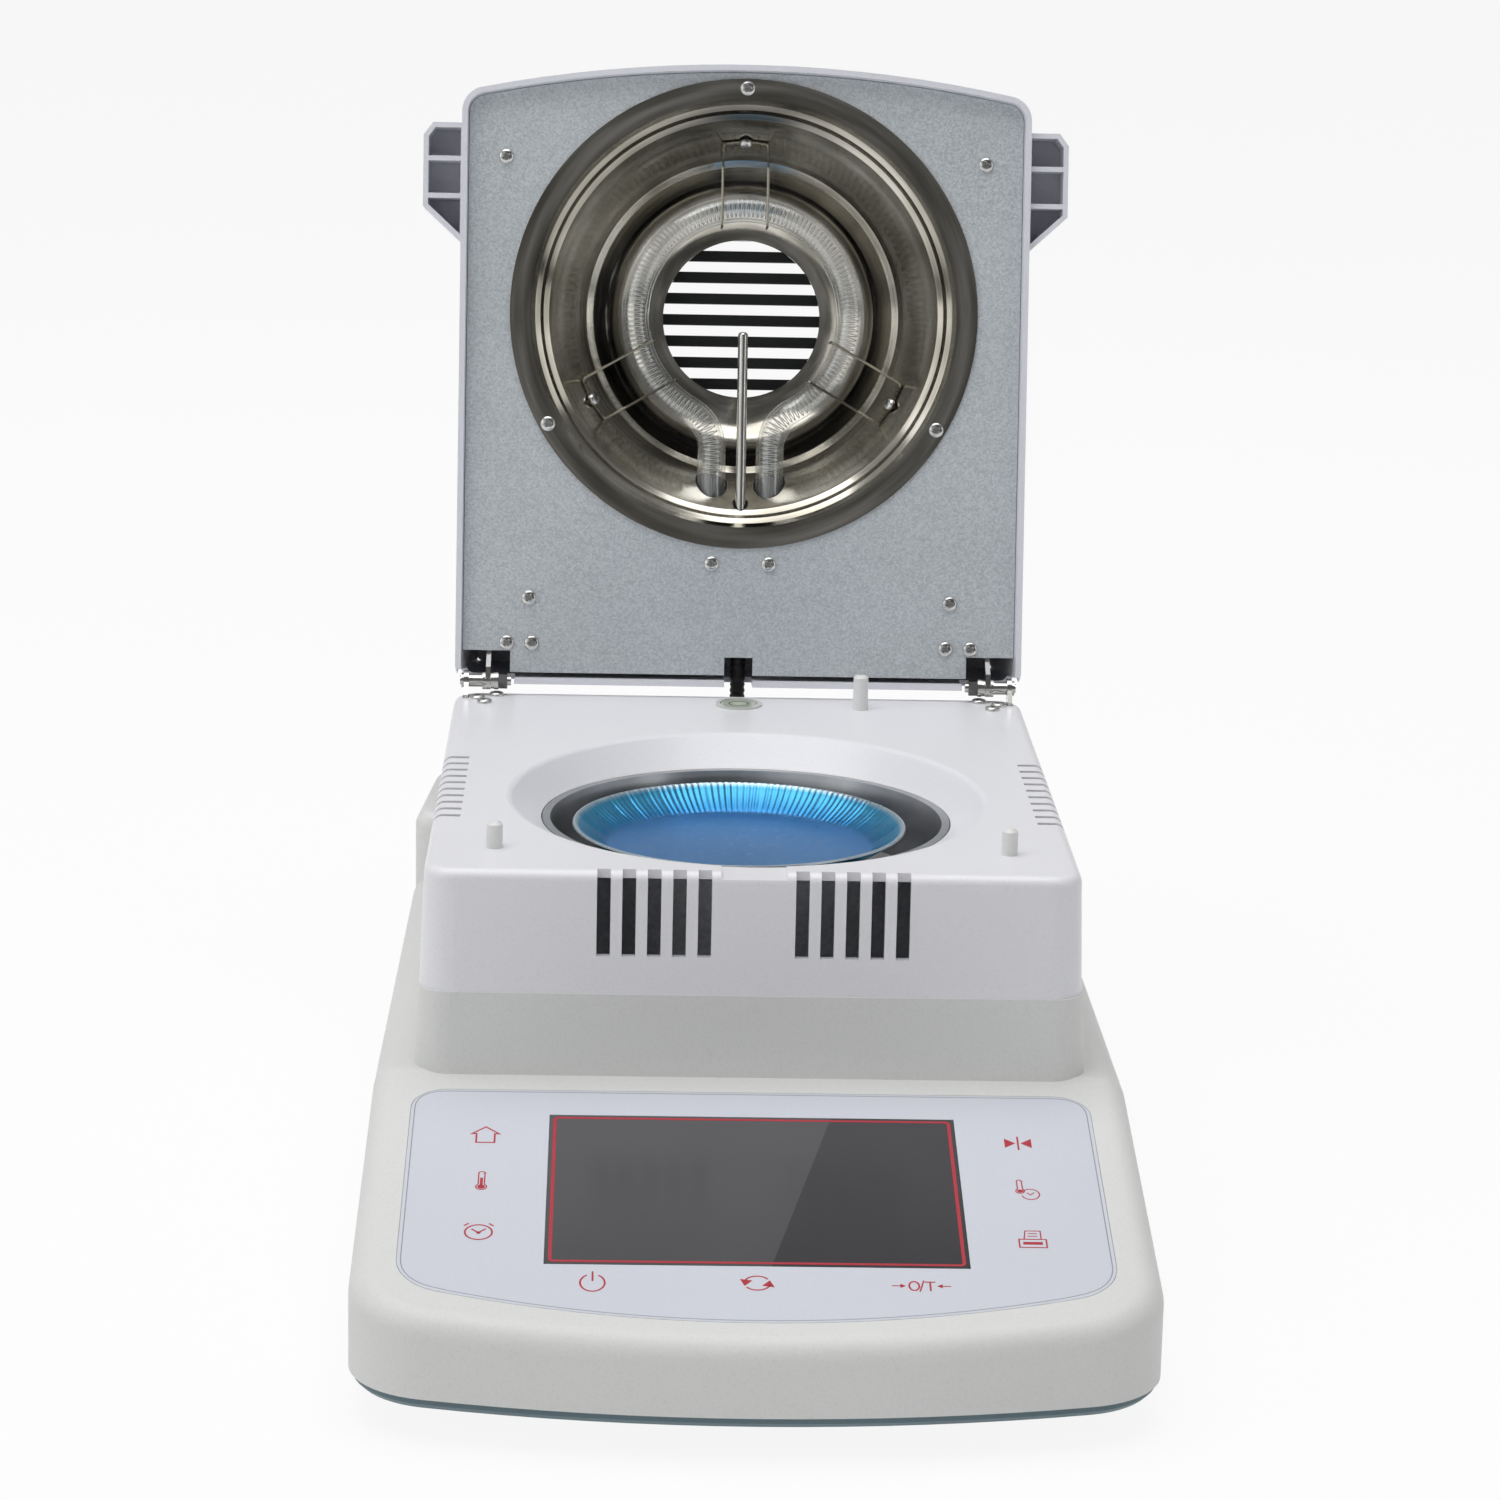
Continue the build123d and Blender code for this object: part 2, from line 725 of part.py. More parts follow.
# Hinges: an ear on a plate under the cover, a shaft with sleeve, discs and nut
arm_x = 81.2
arm_thick = 1.5
bracket_corners = [(74.8, 115.0), (88.8, 115.0), (88.8, 124.8), (84.6, 129.0), (74.8, 129.0)]
with BuildPart() as hinge_brackets:
    for side in (-1, 1):
        with BuildSketch(Plane.XY.offset(ear_low_z)):
            Polygon(*[(side * x, y) for x, y in bracket_corners], align=None)
            with Locations([(side * x, y) for x, y in hinge_screw_spots]):
                Circle(1.3, mode=Mode.SUBTRACT)
        extrude(amount=chamber_top_z - chamber_wall - ear_low_z)
        with BuildSketch(Plane.YZ.offset(side * ear_x)):
            with BuildLine():
                ear_top = CenterArc((hinge_y, hinge_z), 3.2, 0, 180)
                Polyline(
                    ear_top @ 1,
                    (ear_front_y, chamber_top_z + 1),
                    (ear_front_y, ear_low_z),
                    (ear_rear_y, ear_low_z),
                    (ear_rear_y, chamber_top_z + 0.3),
                    (hinge_y + 1.6, chamber_top_z + 0.7),
                    ear_top @ 0,
                )
            make_face()
            with Locations((hinge_y, hinge_z)):
                Circle(pin_shaft_r + 0.05, mode=Mode.SUBTRACT)
        extrude(amount=ear_thick / 2, both=True)
save(hinge_brackets.part, "hinge_brackets")

# Stack on each shaft from the nut outward: start, length and radius of every ring
nut_x = 75.0
nut_thick = 2.9
shaft_start_x = 73.8
shaft_end_x = 90.3
ring_stack = [(77.9, 1.3, 2.9), (79.2, 1.1, 2.7), (82.1, 0.9, 2.9), (83.0, 4.45, 2.1)]
with BuildPart() as hinge_pins:
    for side in (-1, 1):
        with BuildSketch(Plane.YZ.offset(side * shaft_start_x)):
            with Locations((hinge_y, hinge_z)):
                Circle(pin_shaft_r)
        extrude(amount=side * (shaft_end_x - shaft_start_x))
        with BuildSketch(Plane.YZ.offset(side * (ear_x + ear_thick / 2))):
            with Locations((hinge_y, hinge_z)):
                Circle(2.4)
        extrude(amount=side * 0.9)
save(hinge_pins.part, "hinge_pins")

with BuildPart() as hinge_sleeves:
    for side in (-1, 1):
        for start, length, radius in ring_stack:
            with BuildSketch(Plane.YZ.offset(side * start)):
                with Locations((hinge_y, hinge_z)):
                    Circle(radius)
                    Circle(pin_shaft_r + 0.03, mode=Mode.SUBTRACT)
            extrude(amount=side * length)
save(hinge_sleeves.part, "hinge_sleeves")

with BuildPart() as hinge_nuts:
    for side in (-1, 1):
        with BuildSketch(Plane.YZ.offset(side * nut_x)):
            with Locations((hinge_y, hinge_z)):
                RegularPolygon(2.7, 6)
                Circle(pin_shaft_r + 0.03, mode=Mode.SUBTRACT)
        extrude(amount=side * nut_thick)
save(hinge_nuts.part, "hinge_nuts")

with BuildPart() as hinge_screws:
    spots = [(side * x, y) for side in (-1, 1) for x, y in hinge_screw_spots]
    with BuildSketch(Plane.XY.offset(chamber_top_z)):
        with Locations(spots):
            Circle(2.4)
    extrude(amount=1.3)
    chamfer(hinge_screws.edges().group_by(Axis.Z)[-1], 0.5)
    with BuildSketch(Plane.XY.offset(chamber_top_z)):
        with Locations(spots):
            Circle(1.2)
    extrude(amount=-6)
save(hinge_screws.part, "hinge_screws")

# Ports on the rear wall
with BuildPart() as power_inlet:
    with BuildSketch(Plane.XZ.offset(-base_rear_y - 2)):
        with Locations((inlet_x, rear_port_z)):
            RectangleRounded(50, 24, 4)
    extrude(amount=2)
    with BuildSketch(Plane.XZ.offset(-base_rear_y)):
        with Locations((inlet_x, rear_port_z)):
            Rectangle(27.8, 20.2)
    extrude(amount=18)
    with BuildSketch(Plane.XZ.offset(-base_rear_y - 2)):
        with Locations((inlet_x, rear_port_z)):
            Polygon((-12, -8), (12, -8), (12, 3.5), (7.5, 8), (-7.5, 8), (-12, 3.5), align=None)
        with Locations((inlet_x - 20, rear_port_z), (inlet_x + 20, rear_port_z)):
            Circle(1.6)
    extrude(amount=13, mode=Mode.SUBTRACT)
    with BuildSketch(Plane.XZ.offset(-base_rear_y + 12)):
        with Locations((inlet_x - 7, rear_port_z - 2), (inlet_x + 7, rear_port_z - 2)):
            Rectangle(2, 4)
        with Locations((inlet_x, rear_port_z + 2)):
            Rectangle(2, 4)
    extrude(amount=-8)
save(power_inlet.part, "power_inlet")

rocker_pivot_y = base_rear_y - 2.0
rocker_back_r = 4.2
with BuildPart() as power_switch_frame:
    with BuildSketch(Plane.XZ.offset(-base_rear_y - 1.6)):
        with Locations((rocker_x, rear_port_z)):
            RectangleRounded(22, 16, 1)
    extrude(amount=1.6)
    with BuildSketch(Plane.XZ.offset(-base_rear_y)):
        with Locations((rocker_x, rear_port_z)):
            Rectangle(19.2, 13)
    extrude(amount=14)
    with BuildSketch(Plane.XZ.offset(-base_rear_y - 1.6)):
        with Locations((rocker_x, rear_port_z)):
            Rectangle(17, 10.4)
    extrude(amount=base_rear_y + 1.6 - rocker_pivot_y + rocker_back_r + 0.05, mode=Mode.SUBTRACT)
save(power_switch_frame.part, "power_switch_frame")

rocker_rest = math.radians(9)
rocker_plane = Plane(
    origin=(rocker_x, rocker_pivot_y, rear_port_z),
    x_dir=(math.cos(rocker_rest), math.sin(rocker_rest), 0),
    z_dir=(0, 0, 1),
)
with BuildPart() as rocker:
    with BuildSketch(rocker_plane):
        with BuildLine():
            rocker_back = CenterArc((0, 0), rocker_back_r, 180, 180)
            Polyline(rocker_back @ 1, (7.6, 4.6), (0, 3.2), (-7.6, 4.6), rocker_back @ 0)
        make_face()
    extrude(amount=4.9, both=True)
save(rocker.part, "rocker")

with BuildPart() as fuse_holder:
    with BuildSketch(Plane.XZ.offset(-base_rear_y - 7)):
        with Locations((fuse_x, rear_port_z)):
            Circle(6)
    extrude(amount=5)
    with BuildSketch(Plane.XZ.offset(-base_rear_y - 2)):
        with Locations((fuse_x, rear_port_z)):
            Circle(8)
    extrude(amount=2)
    with BuildSketch(Plane.XZ.offset(-base_rear_y)):
        with Locations((fuse_x, rear_port_z)):
            Circle(6.2)
    extrude(amount=22)
    with BuildSketch(Plane.XZ.offset(-base_rear_y - 8)):
        with Locations((fuse_x, rear_port_z)):
            Rectangle(8, 1.2)
    extrude(amount=2.5, mode=Mode.SUBTRACT)
save(fuse_holder.part, "fuse_holder")

with BuildPart() as serial_port:
    with BuildSketch(Plane.XZ.offset(-base_rear_y - 1)):
        with Locations((serial_x, rear_port_z)):
            RectangleRounded(31, 12.5, 1)
    extrude(amount=1)
    with BuildSketch(Plane.XZ.offset(-base_rear_y - 6)):
        with Locations((serial_x, rear_port_z)):
            Polygon((-8.2, 4), (8.2, 4), (7, -4), (-7, -4), align=None)
    extrude(amount=5)
    with BuildSketch(Plane.XZ.offset(-base_rear_y)):
        with Locations((serial_x, rear_port_z)):
            Rectangle(19.6, 10.6)
    extrude(amount=9)
    with BuildSketch(Plane.XZ.offset(-base_rear_y - 7)):
        with Locations((serial_x, rear_port_z + 1.4)):
            with GridLocations(2.75, 0, 5, 1):
                Circle(0.55)
        with Locations((serial_x, rear_port_z - 1.4)):
            with GridLocations(2.75, 0, 4, 1):
                Circle(0.55)
    extrude(amount=4, mode=Mode.SUBTRACT)
    with BuildSketch(Plane.XZ.offset(-base_rear_y - 5.5)):
        with Locations((serial_x, rear_port_z)):
            with GridLocations(25, 0, 2, 1):
                RegularPolygon(2.6, 6)
    extrude(amount=4.6)
save(serial_port.part, "serial_port")


# Lid
def lid_outline(inset):
    """The lid seen square on: straight sides under a bowed free edge."""
    with BuildSketch() as outline:
        with BuildLine():
            upper = ThreePointArc(
                (-lid_half_width, lid_side_top),
                (0, lid_mid_top),
                (lid_half_width, lid_side_top),
            )
            Polyline(
                upper @ 1,
                (lid_half_width, lid_edge),
                (-lid_half_width, lid_edge),
                upper @ 0,
            )
        make_face()
        fillet(outline.vertices().group_by(Axis.Y)[-1], 8)
        fillet(outline.vertices().group_by(Axis.Y)[0], 6)
        if inset:
            offset(amount=-inset)
    return outline.sketch


grip_low = 142.0
grip_mid = 153.0
grip_high = 180.0
grip_out = 104.4
grip_depth = 17.0
grille_half_width = 36.0
grille_half_height = 32.0
cable_half_width = 4.6
shell_wall = 2.2
shell_draft = 4.0
shell_inner = rim_level - shell_depth + shell_wall
plate_back = plate_level - plate_thick
flange_thick = 1.5
plate_hole_r = 70.2
flange_screw_r = 72.8
plate_screw_spots = [
    (side * x, height)
    for side in (-1, 1)
    for x, height in ((77.7, 169.5), (68.5, 27.0), (75.5, 12.3), (67.4, 12.3), (9.3, 39.0))
]


def grip_outline(inset):
    """One side grip seen square on, right of the lid; its lower edge is slanted."""
    with BuildSketch() as outline:
        with BuildLine():
            Polyline(
                (lid_half_width - 4, grip_high),
                (grip_out - 3, grip_high),
                (grip_out, grip_high - 4),
                (grip_out, grip_mid),
                (lid_half_width - 4, grip_low - 4),
                close=True,
            )
        make_face()
        if inset:
            offset(amount=-inset)
    return outline.sketch


with BuildPart() as lid_shell:
    with BuildSketch(lid_plane.offset(rim_level)):
        add(lid_outline(0))
    extrude(amount=-shell_depth, taper=shell_draft)
    outer_face = lid_shell.faces().sort_by(Axis.Y)[-1]
    fillet(outer_face.edges(), 7)
    with BuildSketch(lid_plane.offset(-2)):
        add(grip_outline(0))
        mirror(grip_outline(0), about=Plane.YZ)
    extrude(amount=-grip_depth)
    with BuildSketch(lid_plane.offset(rim_level)):
        add(lid_outline(1.8))
    extrude(amount=-shell_depth + shell_wall, taper=shell_draft, mode=Mode.SUBTRACT)
    with BuildSketch(lid_plane.offset(-2)):
        add(grip_outline(1.6))
        mirror(grip_outline(1.6), about=Plane.YZ)
        with BuildSketch(mode=Mode.SUBTRACT):
            Rectangle(2 * lid_half_width + 0.8, 500)
        for rib_height in (156.5, 168.5):
            with Locations((-100, rib_height), (100, rib_height)):
                Rectangle(30, 1.6, mode=Mode.SUBTRACT)
    extrude(amount=-grip_depth + 1.6, mode=Mode.SUBTRACT)
    with BuildSketch(lid_plane.offset(-shell_depth - 5)):
        with Locations((0, lamp_centre)):
            RectangleRounded(2 * grille_half_width + 0.4, 2 * grille_half_height + 0.4, 6)
    extrude(amount=12, mode=Mode.SUBTRACT)
    with BuildSketch(lid_plane.offset(rim_level)):
        with Locations((0, lid_edge)):
            Rectangle(2 * cable_half_width, 8)
        with Locations((-82, lid_edge), (82, lid_edge)):
            Rectangle(18.4, 9)
    extrude(amount=-15, mode=Mode.SUBTRACT)
    # Bosses for the plate screws, the lower pair behind the hinge flanges
    for x, height, level in ((77.7, 169.5, plate_back), (68.5, 27.0, plate_back - flange_thick)):
        with BuildSketch(lid_plane.offset(level)):
            with Locations((-x, height), (x, height)):
                Circle(3.5)
        extrude(amount=shell_inner - level - 0.5)
        with BuildSketch(lid_plane.offset(level)):
            with Locations((-x, height), (x, height)):
                Circle(1.25)
        extrude(amount=-8, mode=Mode.SUBTRACT)
save(lid_shell.part, "lid_shell")

with BuildPart() as lid_plate:
    with BuildSketch(lid_plane.offset(plate_level)):
        add(lid_outline(2.3))
        with Locations((0, lid_edge)):
            Rectangle(200, 7.4, mode=Mode.SUBTRACT)
        with Locations((-83, lid_edge), (83, lid_edge)):
            Rectangle(17.4, 21.4, mode=Mode.SUBTRACT)
        with Locations((0, 4)):
            Rectangle(2 * cable_half_width, 9, mode=Mode.SUBTRACT)
        with Locations((0, lamp_centre)):
            Circle(plate_hole_r, mode=Mode.SUBTRACT)
            with PolarLocations(flange_screw_r, 3, start_angle=90):
                Circle(1.3, mode=Mode.SUBTRACT)
        with Locations(plate_screw_spots):
            Circle(1.3, mode=Mode.SUBTRACT)
    extrude(amount=-plate_thick)
save(lid_plate.part, "lid_plate")

with BuildPart() as lid_screws:
    with BuildSketch(lid_plane.offset(plate_level)):
        with Locations(plate_screw_spots):
            Circle(2.4)
    extrude(amount=1.3)
    with BuildSketch(lid_plane.offset(plate_level)):
        with Locations(plate_screw_spots):
            Circle(1.2)
    extrude(amount=-7)
save(lid_screws.part, "lid_screws")

with BuildPart() as flange_screws:
    with BuildSketch(lid_plane.offset(plate_level + 0.8)):
        with Locations((0, lamp_centre)):
            with PolarLocations(flange_screw_r, 3, start_angle=90):
                Circle(2.4)
    extrude(amount=1.2)
    with BuildSketch(lid_plane.offset(plate_level + 0.8)):
        with Locations((0, lamp_centre)):
            with PolarLocations(flange_screw_r, 3, start_angle=90):
                Circle(1.2)
    extrude(amount=-6)
save(flange_screws.part, "flange_screws")

with BuildPart() as vent_grille:
    with BuildSketch(lid_plane.offset(-shell_depth + 1.4)):
        with Locations((0, lamp_centre)):
            RectangleRounded(2 * grille_half_width, 2 * grille_half_height, 6)
            with GridLocations(0, 7.1, 1, 8):
                Rectangle(2 * grille_half_width - 8, 3.5, mode=Mode.SUBTRACT)
    extrude(amount=3)
    with BuildSketch(lid_plane.offset(shell_inner)):
        with Locations((0, lamp_centre)):
            RectangleRounded(2 * grille_half_width + 8, 2 * grille_half_height + 8, 9)
            RectangleRounded(2 * grille_half_width - 2, 2 * grille_half_height - 2, 5, mode=Mode.SUBTRACT)
    extrude(amount=1.4)
save(vent_grille.part, "vent_grille")

# Reflector: a spun bowl with a stepped wall, drawn as its half section
reflector_sheet = 0.8
band_high_r = 63.6
band_high = -9.4
band_low_r = 51.5
band_low = -23.4
band_slope = (band_high - band_low) / (band_high_r - band_low_r)
leg_end = 50.0
rod_level = -11.5
rod_end = 114.5
clip_r = 57.0
clip_half = 7.4
clip_angles = (90, 210, 330)
clip_wire_r = 0.45
clip_shank_r = 0.9
leg_plane = Plane(
    origin=lid_plane.from_local_coords((0, leg_end, 0)),
    x_dir=(-1, 0, 0),
    z_dir=lid_plane.y_dir,
)


def clip_plane(angle):
    """A plane at the reflector's middle whose X axis runs out towards one lamp clip."""
    outward = lid_plane.x_dir.rotate(Axis((0, 0, 0), lid_plane.z_dir), angle)
    return Plane(origin=reflector_middle, x_dir=outward, z_dir=lid_plane.z_dir)


def clip_screw_plane(angle):
    """The seat of one clip screw, square to the slanting band of the reflector."""
    plane = clip_plane(angle)
    lift = reflector_sheet / 2 + 2 * clip_wire_r
    length = math.hypot(1, band_slope)
    inward = -lift * band_slope / length
    seat_level = band_high + (clip_r - band_high_r) * band_slope
    foot = plane.from_local_coords((clip_r, 0, seat_level))
    seat = plane.from_local_coords((clip_r + inward, 0, seat_level + lift / length))
    return Plane(origin=seat, x_dir=lid_plane.x_dir.cross(seat - foot), z_dir=seat - foot)


reflector_middle = lid_plane.from_local_coords((0, lamp_centre, 0))
section_plane = Plane(origin=reflector_middle, x_dir=(1, 0, 0), z_dir=-lid_plane.y_dir)
with BuildPart() as reflector:
    with BuildSketch(section_plane):
        with BuildLine():
            flange = Line((flange_r, plate_level + 0.4), (69.2, plate_level + 0.4))
            step = Polyline(flange @ 1, (68, -4.6), (66.4, -5.4), (65.4, -8.4), (band_high_r, band_high))
            band = Line(step @ 1, (band_low_r, band_low))
            ring = Polyline(band @ 1, (49.4, -24.6), (45.4, -29.6))
            ThreePointArc(ring @ 1, (38.4, -36.4), (chimney_r, -39.6))
        trace(line_width=reflector_sheet)
    revolve(axis=Axis(section_plane.origin, lid_plane.z_dir))
    with BuildSketch(leg_plane):
        with Locations((-lamp_leg_x, lamp_level), (lamp_leg_x, lamp_level)):
            Circle(lamp_tube_r + 0.6)
        with Locations((0, rod_level)):
            Circle(2.6)
    extrude(amount=26, mode=Mode.SUBTRACT)
    with BuildSketch(lid_plane.offset(plate_level + 1)):
        with Locations((0, lamp_centre)):
            with PolarLocations(flange_screw_r, 3, start_angle=90):
                Circle(1.3)
    extrude(amount=-6, mode=Mode.SUBTRACT)
    for angle in clip_angles:
        with BuildSketch(clip_screw_plane(angle)):
            Circle(clip_shank_r + 0.1)
        extrude(amount=-8, mode=Mode.SUBTRACT)
save(reflector.part, "reflector")

# Ring lamp: a quartz tube bent to a ring whose ends close up and leave as two legs
bend_r = 14.0
filament_r = 1.5
bend_y = -math.sqrt((lamp_ring_r + bend_r) ** 2 - (lamp_leg_x + bend_r) ** 2)
bend_arc = math.degrees(math.atan2(-bend_y, lamp_leg_x + bend_r))
lamp_plane = Plane(
    origin=lid_plane.from_local_coords((0, lamp_centre, lamp_level)),
    x_dir=(1, 0, 0),
    z_dir=lid_plane.z_dir,
)


def rod_section(radius, sides):
    """A circle, or a regular polygon where a number of sides is given."""
    with BuildSketch() as section:
        if sides:
            RegularPolygon(radius, sides)
        else:
            Circle(radius)
    return section.sketch


def lamp_rod(radius, sides=0):
    """A rod along the lamp: the open ring, two bends and two legs."""
    meet = lamp_ring_r / (lamp_ring_r + bend_r)
    ring_start = lamp_plane.from_local_coords((-(lamp_leg_x + bend_r) * meet, bend_y * meet, 0))
    ring_heading = (ring_start - lamp_plane.origin).cross(lid_plane.z_dir)
    with BuildPart() as rod:
        with BuildSketch(Plane(ring_start, x_dir=lid_plane.z_dir, z_dir=ring_heading)):
            add(rod_section(radius, sides))
        revolve(axis=Axis(lamp_plane.origin, lid_plane.z_dir * -1), revolution_arc=180 + 2 * bend_arc)
        for side in (-1, 1):
            leg_top = lamp_plane.from_local_coords((side * lamp_leg_x, bend_y, 0))
            bend_middle = lamp_plane.from_local_coords((side * (lamp_leg_x + bend_r), bend_y, 0))
            with BuildSketch(Plane(leg_top, x_dir=lid_plane.z_dir, z_dir=lid_plane.y_dir)):
                add(rod_section(radius, sides))
            revolve(axis=Axis(bend_middle, lid_plane.z_dir * -side), revolution_arc=bend_arc)
            with BuildSketch(Plane(leg_top, x_dir=lid_plane.z_dir, z_dir=lid_plane.y_dir)):
                add(rod_section(radius, sides))
            extrude(amount=leg_end - lamp_centre - bend_y)
    return rod.part


with BuildPart() as lamp_tube:
    add(lamp_rod(lamp_tube_r))
    add(lamp_rod(lamp_tube_r - 1.0, 12), mode=Mode.SUBTRACT)
save(lamp_tube.part, "lamp_tube")

with BuildPart() as lamp_filament:
    add(lamp_rod(filament_r, 6))
save(lamp_filament.part, "lamp_filament")

# Ceramic holder behind the plate, with the ends of the lamp on its upper face
holder_low = 34.0
with BuildPart() as lamp_holder:
    with BuildSketch(lid_plane.offset(plate_back)):
        with Locations((0, (holder_low + leg_end) / 2)):
            RectangleRounded(34, leg_end - holder_low, 2)
    extrude(amount=-20)
    with BuildSketch(lid_plane.offset(plate_back)):
        with Locations((-9.3, 39), (9.3, 39)):
            Circle(1.25)
    extrude(amount=-8, mode=Mode.SUBTRACT)
save(lamp_holder.part, "lamp_holder")

# Wire clips that hold the ring lamp, each under its own screw on the band
def rod_along(line, radius, sides=0):
    """A rod along a line."""
    with BuildPart() as rod:
        with BuildSketch(Plane(origin=line @ 0, z_dir=line % 0)):
            add(rod_section(radius, sides))
        sweep(path=line)
    return rod.part


wire_level = lamp_level + lamp_tube_r + clip_wire_r + 0.2
with BuildPart() as lamp_clips:
    for angle in clip_angles:
        for side in (-1, 1):
            with BuildLine(clip_plane(angle)) as wire:
                FilletPolyline(
                    (clip_r - 0.4, side * 1.5, -16.18),
                    (clip_r - 1.1, side * clip_half, -16.25),
                    (48, side * clip_half, wire_level),
                    (29.0, side * clip_half, wire_level),
                    (29.0, side * clip_half, lamp_level - 4),
                    radius=1.2,
                )
            add(rod_along(wire.wire(), clip_wire_r, 6))
save(lamp_clips.part, "lamp_clips")

with BuildPart() as clip_screws:
    for angle in clip_angles:
        with BuildSketch(clip_screw_plane(angle)):
            Circle(2.1)
        extrude(amount=1.4)
        with BuildSketch(clip_screw_plane(angle)):
            Circle(clip_shank_r)
        extrude(amount=-7)
save(clip_screws.part, "clip_screws")

with BuildPart() as sensor_rod:
    with BuildSketch(leg_plane):
        with Locations((0, rod_level)):
            Circle(1.65)
    extrude(amount=rod_end - leg_end)
    fillet(sensor_rod.edges().group_by(Axis.Z)[-1], 1.2)
save(sensor_rod.part, "sensor_rod")

with BuildPart() as sensor_gland:
    with BuildSketch(leg_plane):
        with Locations((0, rod_level)):
            RegularPolygon(3.5, 6)
            Circle(1.7, mode=Mode.SUBTRACT)
    extrude(amount=3.3)
save(sensor_gland.part, "sensor_gland")

# Lid side of the hinges: an eye on the shaft, with a flange screwed behind the plate
eye_r = 2.9
flange_low = 9.8
flange_high = 30.0
web_back = -8.0
with BuildPart() as hinge_arms:
    for side in (-1, 1):
        arm_plane = Plane(
            origin=lid_plane.from_local_coords((side * arm_x, 0, 0)),
            x_dir=lid_plane.y_dir,
            z_dir=(1, 0, 0),
        )
        with BuildSketch(arm_plane):
            Circle(eye_r)
            Polygon(
                (0, eye_r),
                (4.5, 2.0),
                (flange_low - 0.3, plate_back),
                (flange_high, plate_back),
                (flange_high, web_back),
                (9, web_back),
                (0, -eye_r),
                align=None,
            )
            Circle(pin_shaft_r + 0.05, mode=Mode.SUBTRACT)
        extrude(amount=arm_thick / 2, both=True)
    with BuildSketch(lid_plane.offset(plate_back)):
        with Locations([(side * 74, (flange_low + flange_high) / 2) for side in (-1, 1)]):
            Rectangle(16, flange_high - flange_low)
        with Locations(plate_screw_spots):
            Circle(1.3, mode=Mode.SUBTRACT)
    extrude(amount=-flange_thick)
save(hinge_arms.part, "hinge_arms")

# Lead from the lid, behind the chamber, into the raised rear of the base
lead_top = lid_plane.from_local_coords((0, holder_low, -10.5))
lead_turn = lid_plane.from_local_coords((0, 2, -10.5))
lead_points = [
    (0, lead_top.Y, lead_top.Z),
    (0, lead_turn.Y, lead_turn.Z),
    (0, lead_exit_y, hump_top_z + 20),
    (0, lead_exit_y, hump_top_z - 4),
]
with BuildPart() as lid_lead:
    with BuildLine() as lead_path:
        FilletPolyline(*lead_points, radius=30)
    add(rod_along(lead_path.wire(), lead_r))
save(lid_lead.part, "lid_lead")
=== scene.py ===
import math
import random
import bpy
import bmesh
from mathutils import Matrix, Vector


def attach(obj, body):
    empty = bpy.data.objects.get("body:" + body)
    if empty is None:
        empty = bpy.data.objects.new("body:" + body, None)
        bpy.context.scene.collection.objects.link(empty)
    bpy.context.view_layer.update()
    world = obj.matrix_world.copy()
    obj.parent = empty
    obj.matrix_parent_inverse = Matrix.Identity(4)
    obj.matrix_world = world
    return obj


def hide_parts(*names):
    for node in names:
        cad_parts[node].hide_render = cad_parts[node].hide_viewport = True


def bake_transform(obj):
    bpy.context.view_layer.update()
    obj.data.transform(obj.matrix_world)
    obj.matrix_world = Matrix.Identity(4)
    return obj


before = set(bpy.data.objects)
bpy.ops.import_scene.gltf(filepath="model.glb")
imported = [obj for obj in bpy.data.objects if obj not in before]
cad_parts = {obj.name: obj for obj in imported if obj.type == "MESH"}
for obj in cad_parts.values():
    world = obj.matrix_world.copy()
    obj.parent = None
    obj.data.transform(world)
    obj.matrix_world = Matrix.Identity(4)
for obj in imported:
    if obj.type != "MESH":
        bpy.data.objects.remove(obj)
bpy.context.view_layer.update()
mm = 0.001
random.seed(7)
print("frame loaded:", len(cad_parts), "parts")


# Planes that the details sit in, in millimetres and degrees

lidSettings = {"hingeY": 129.0, "hingeZ": 124.0, "lean": 10.5, "lampCentre": 119.9, "lampLevel": -18.0}
panelSettings = {"startY": -88.0, "startZ": 61.5, "slope": 12.3}


# a point of the lid: across it, up it from the hinge, and out towards the chamber side
def lidPoint(across, up, out):
    lean = math.radians(lidSettings["lean"])
    y = lidSettings["hingeY"] + up * math.sin(lean) - out * math.cos(lean)
    z = lidSettings["hingeZ"] + up * math.cos(lean) + out * math.sin(lean)
    return Vector((across, y, z)) * mm


# a point of the sloping panel: across it, up it from its rear edge, and proud of it
def panelPoint(across, up, proud):
    slope = math.radians(panelSettings["slope"])
    y = panelSettings["startY"] + up * math.cos(slope) - proud * math.sin(slope)
    z = panelSettings["startZ"] + up * math.sin(slope) + proud * math.cos(slope)
    return Vector((across, y, z)) * mm


lidAxis = (lidPoint(0, 0, 1) - lidPoint(0, 0, 0)).normalized()
lidUp = (lidPoint(0, 1, 0) - lidPoint(0, 0, 0)).normalized()


# Shader helpers

white = (1, 1, 1, 1)


def srgb(red, green, blue):
    def channel(value):
        value = value / 255
        return value / 12.92 if value <= 0.04045 else ((value + 0.055) / 1.055) ** 2.4
    return (channel(red), channel(green), channel(blue), 1)


def grey(level):
    return (level, level, level, 1)


def shadeOf(colour, factor):
    return tuple(min(1, channel * factor) for channel in colour[:3]) + (1,)


def newTree(name):
    material = bpy.data.materials.new(name)
    material.use_nodes = True
    material.node_tree.nodes.clear()
    return material, material.node_tree


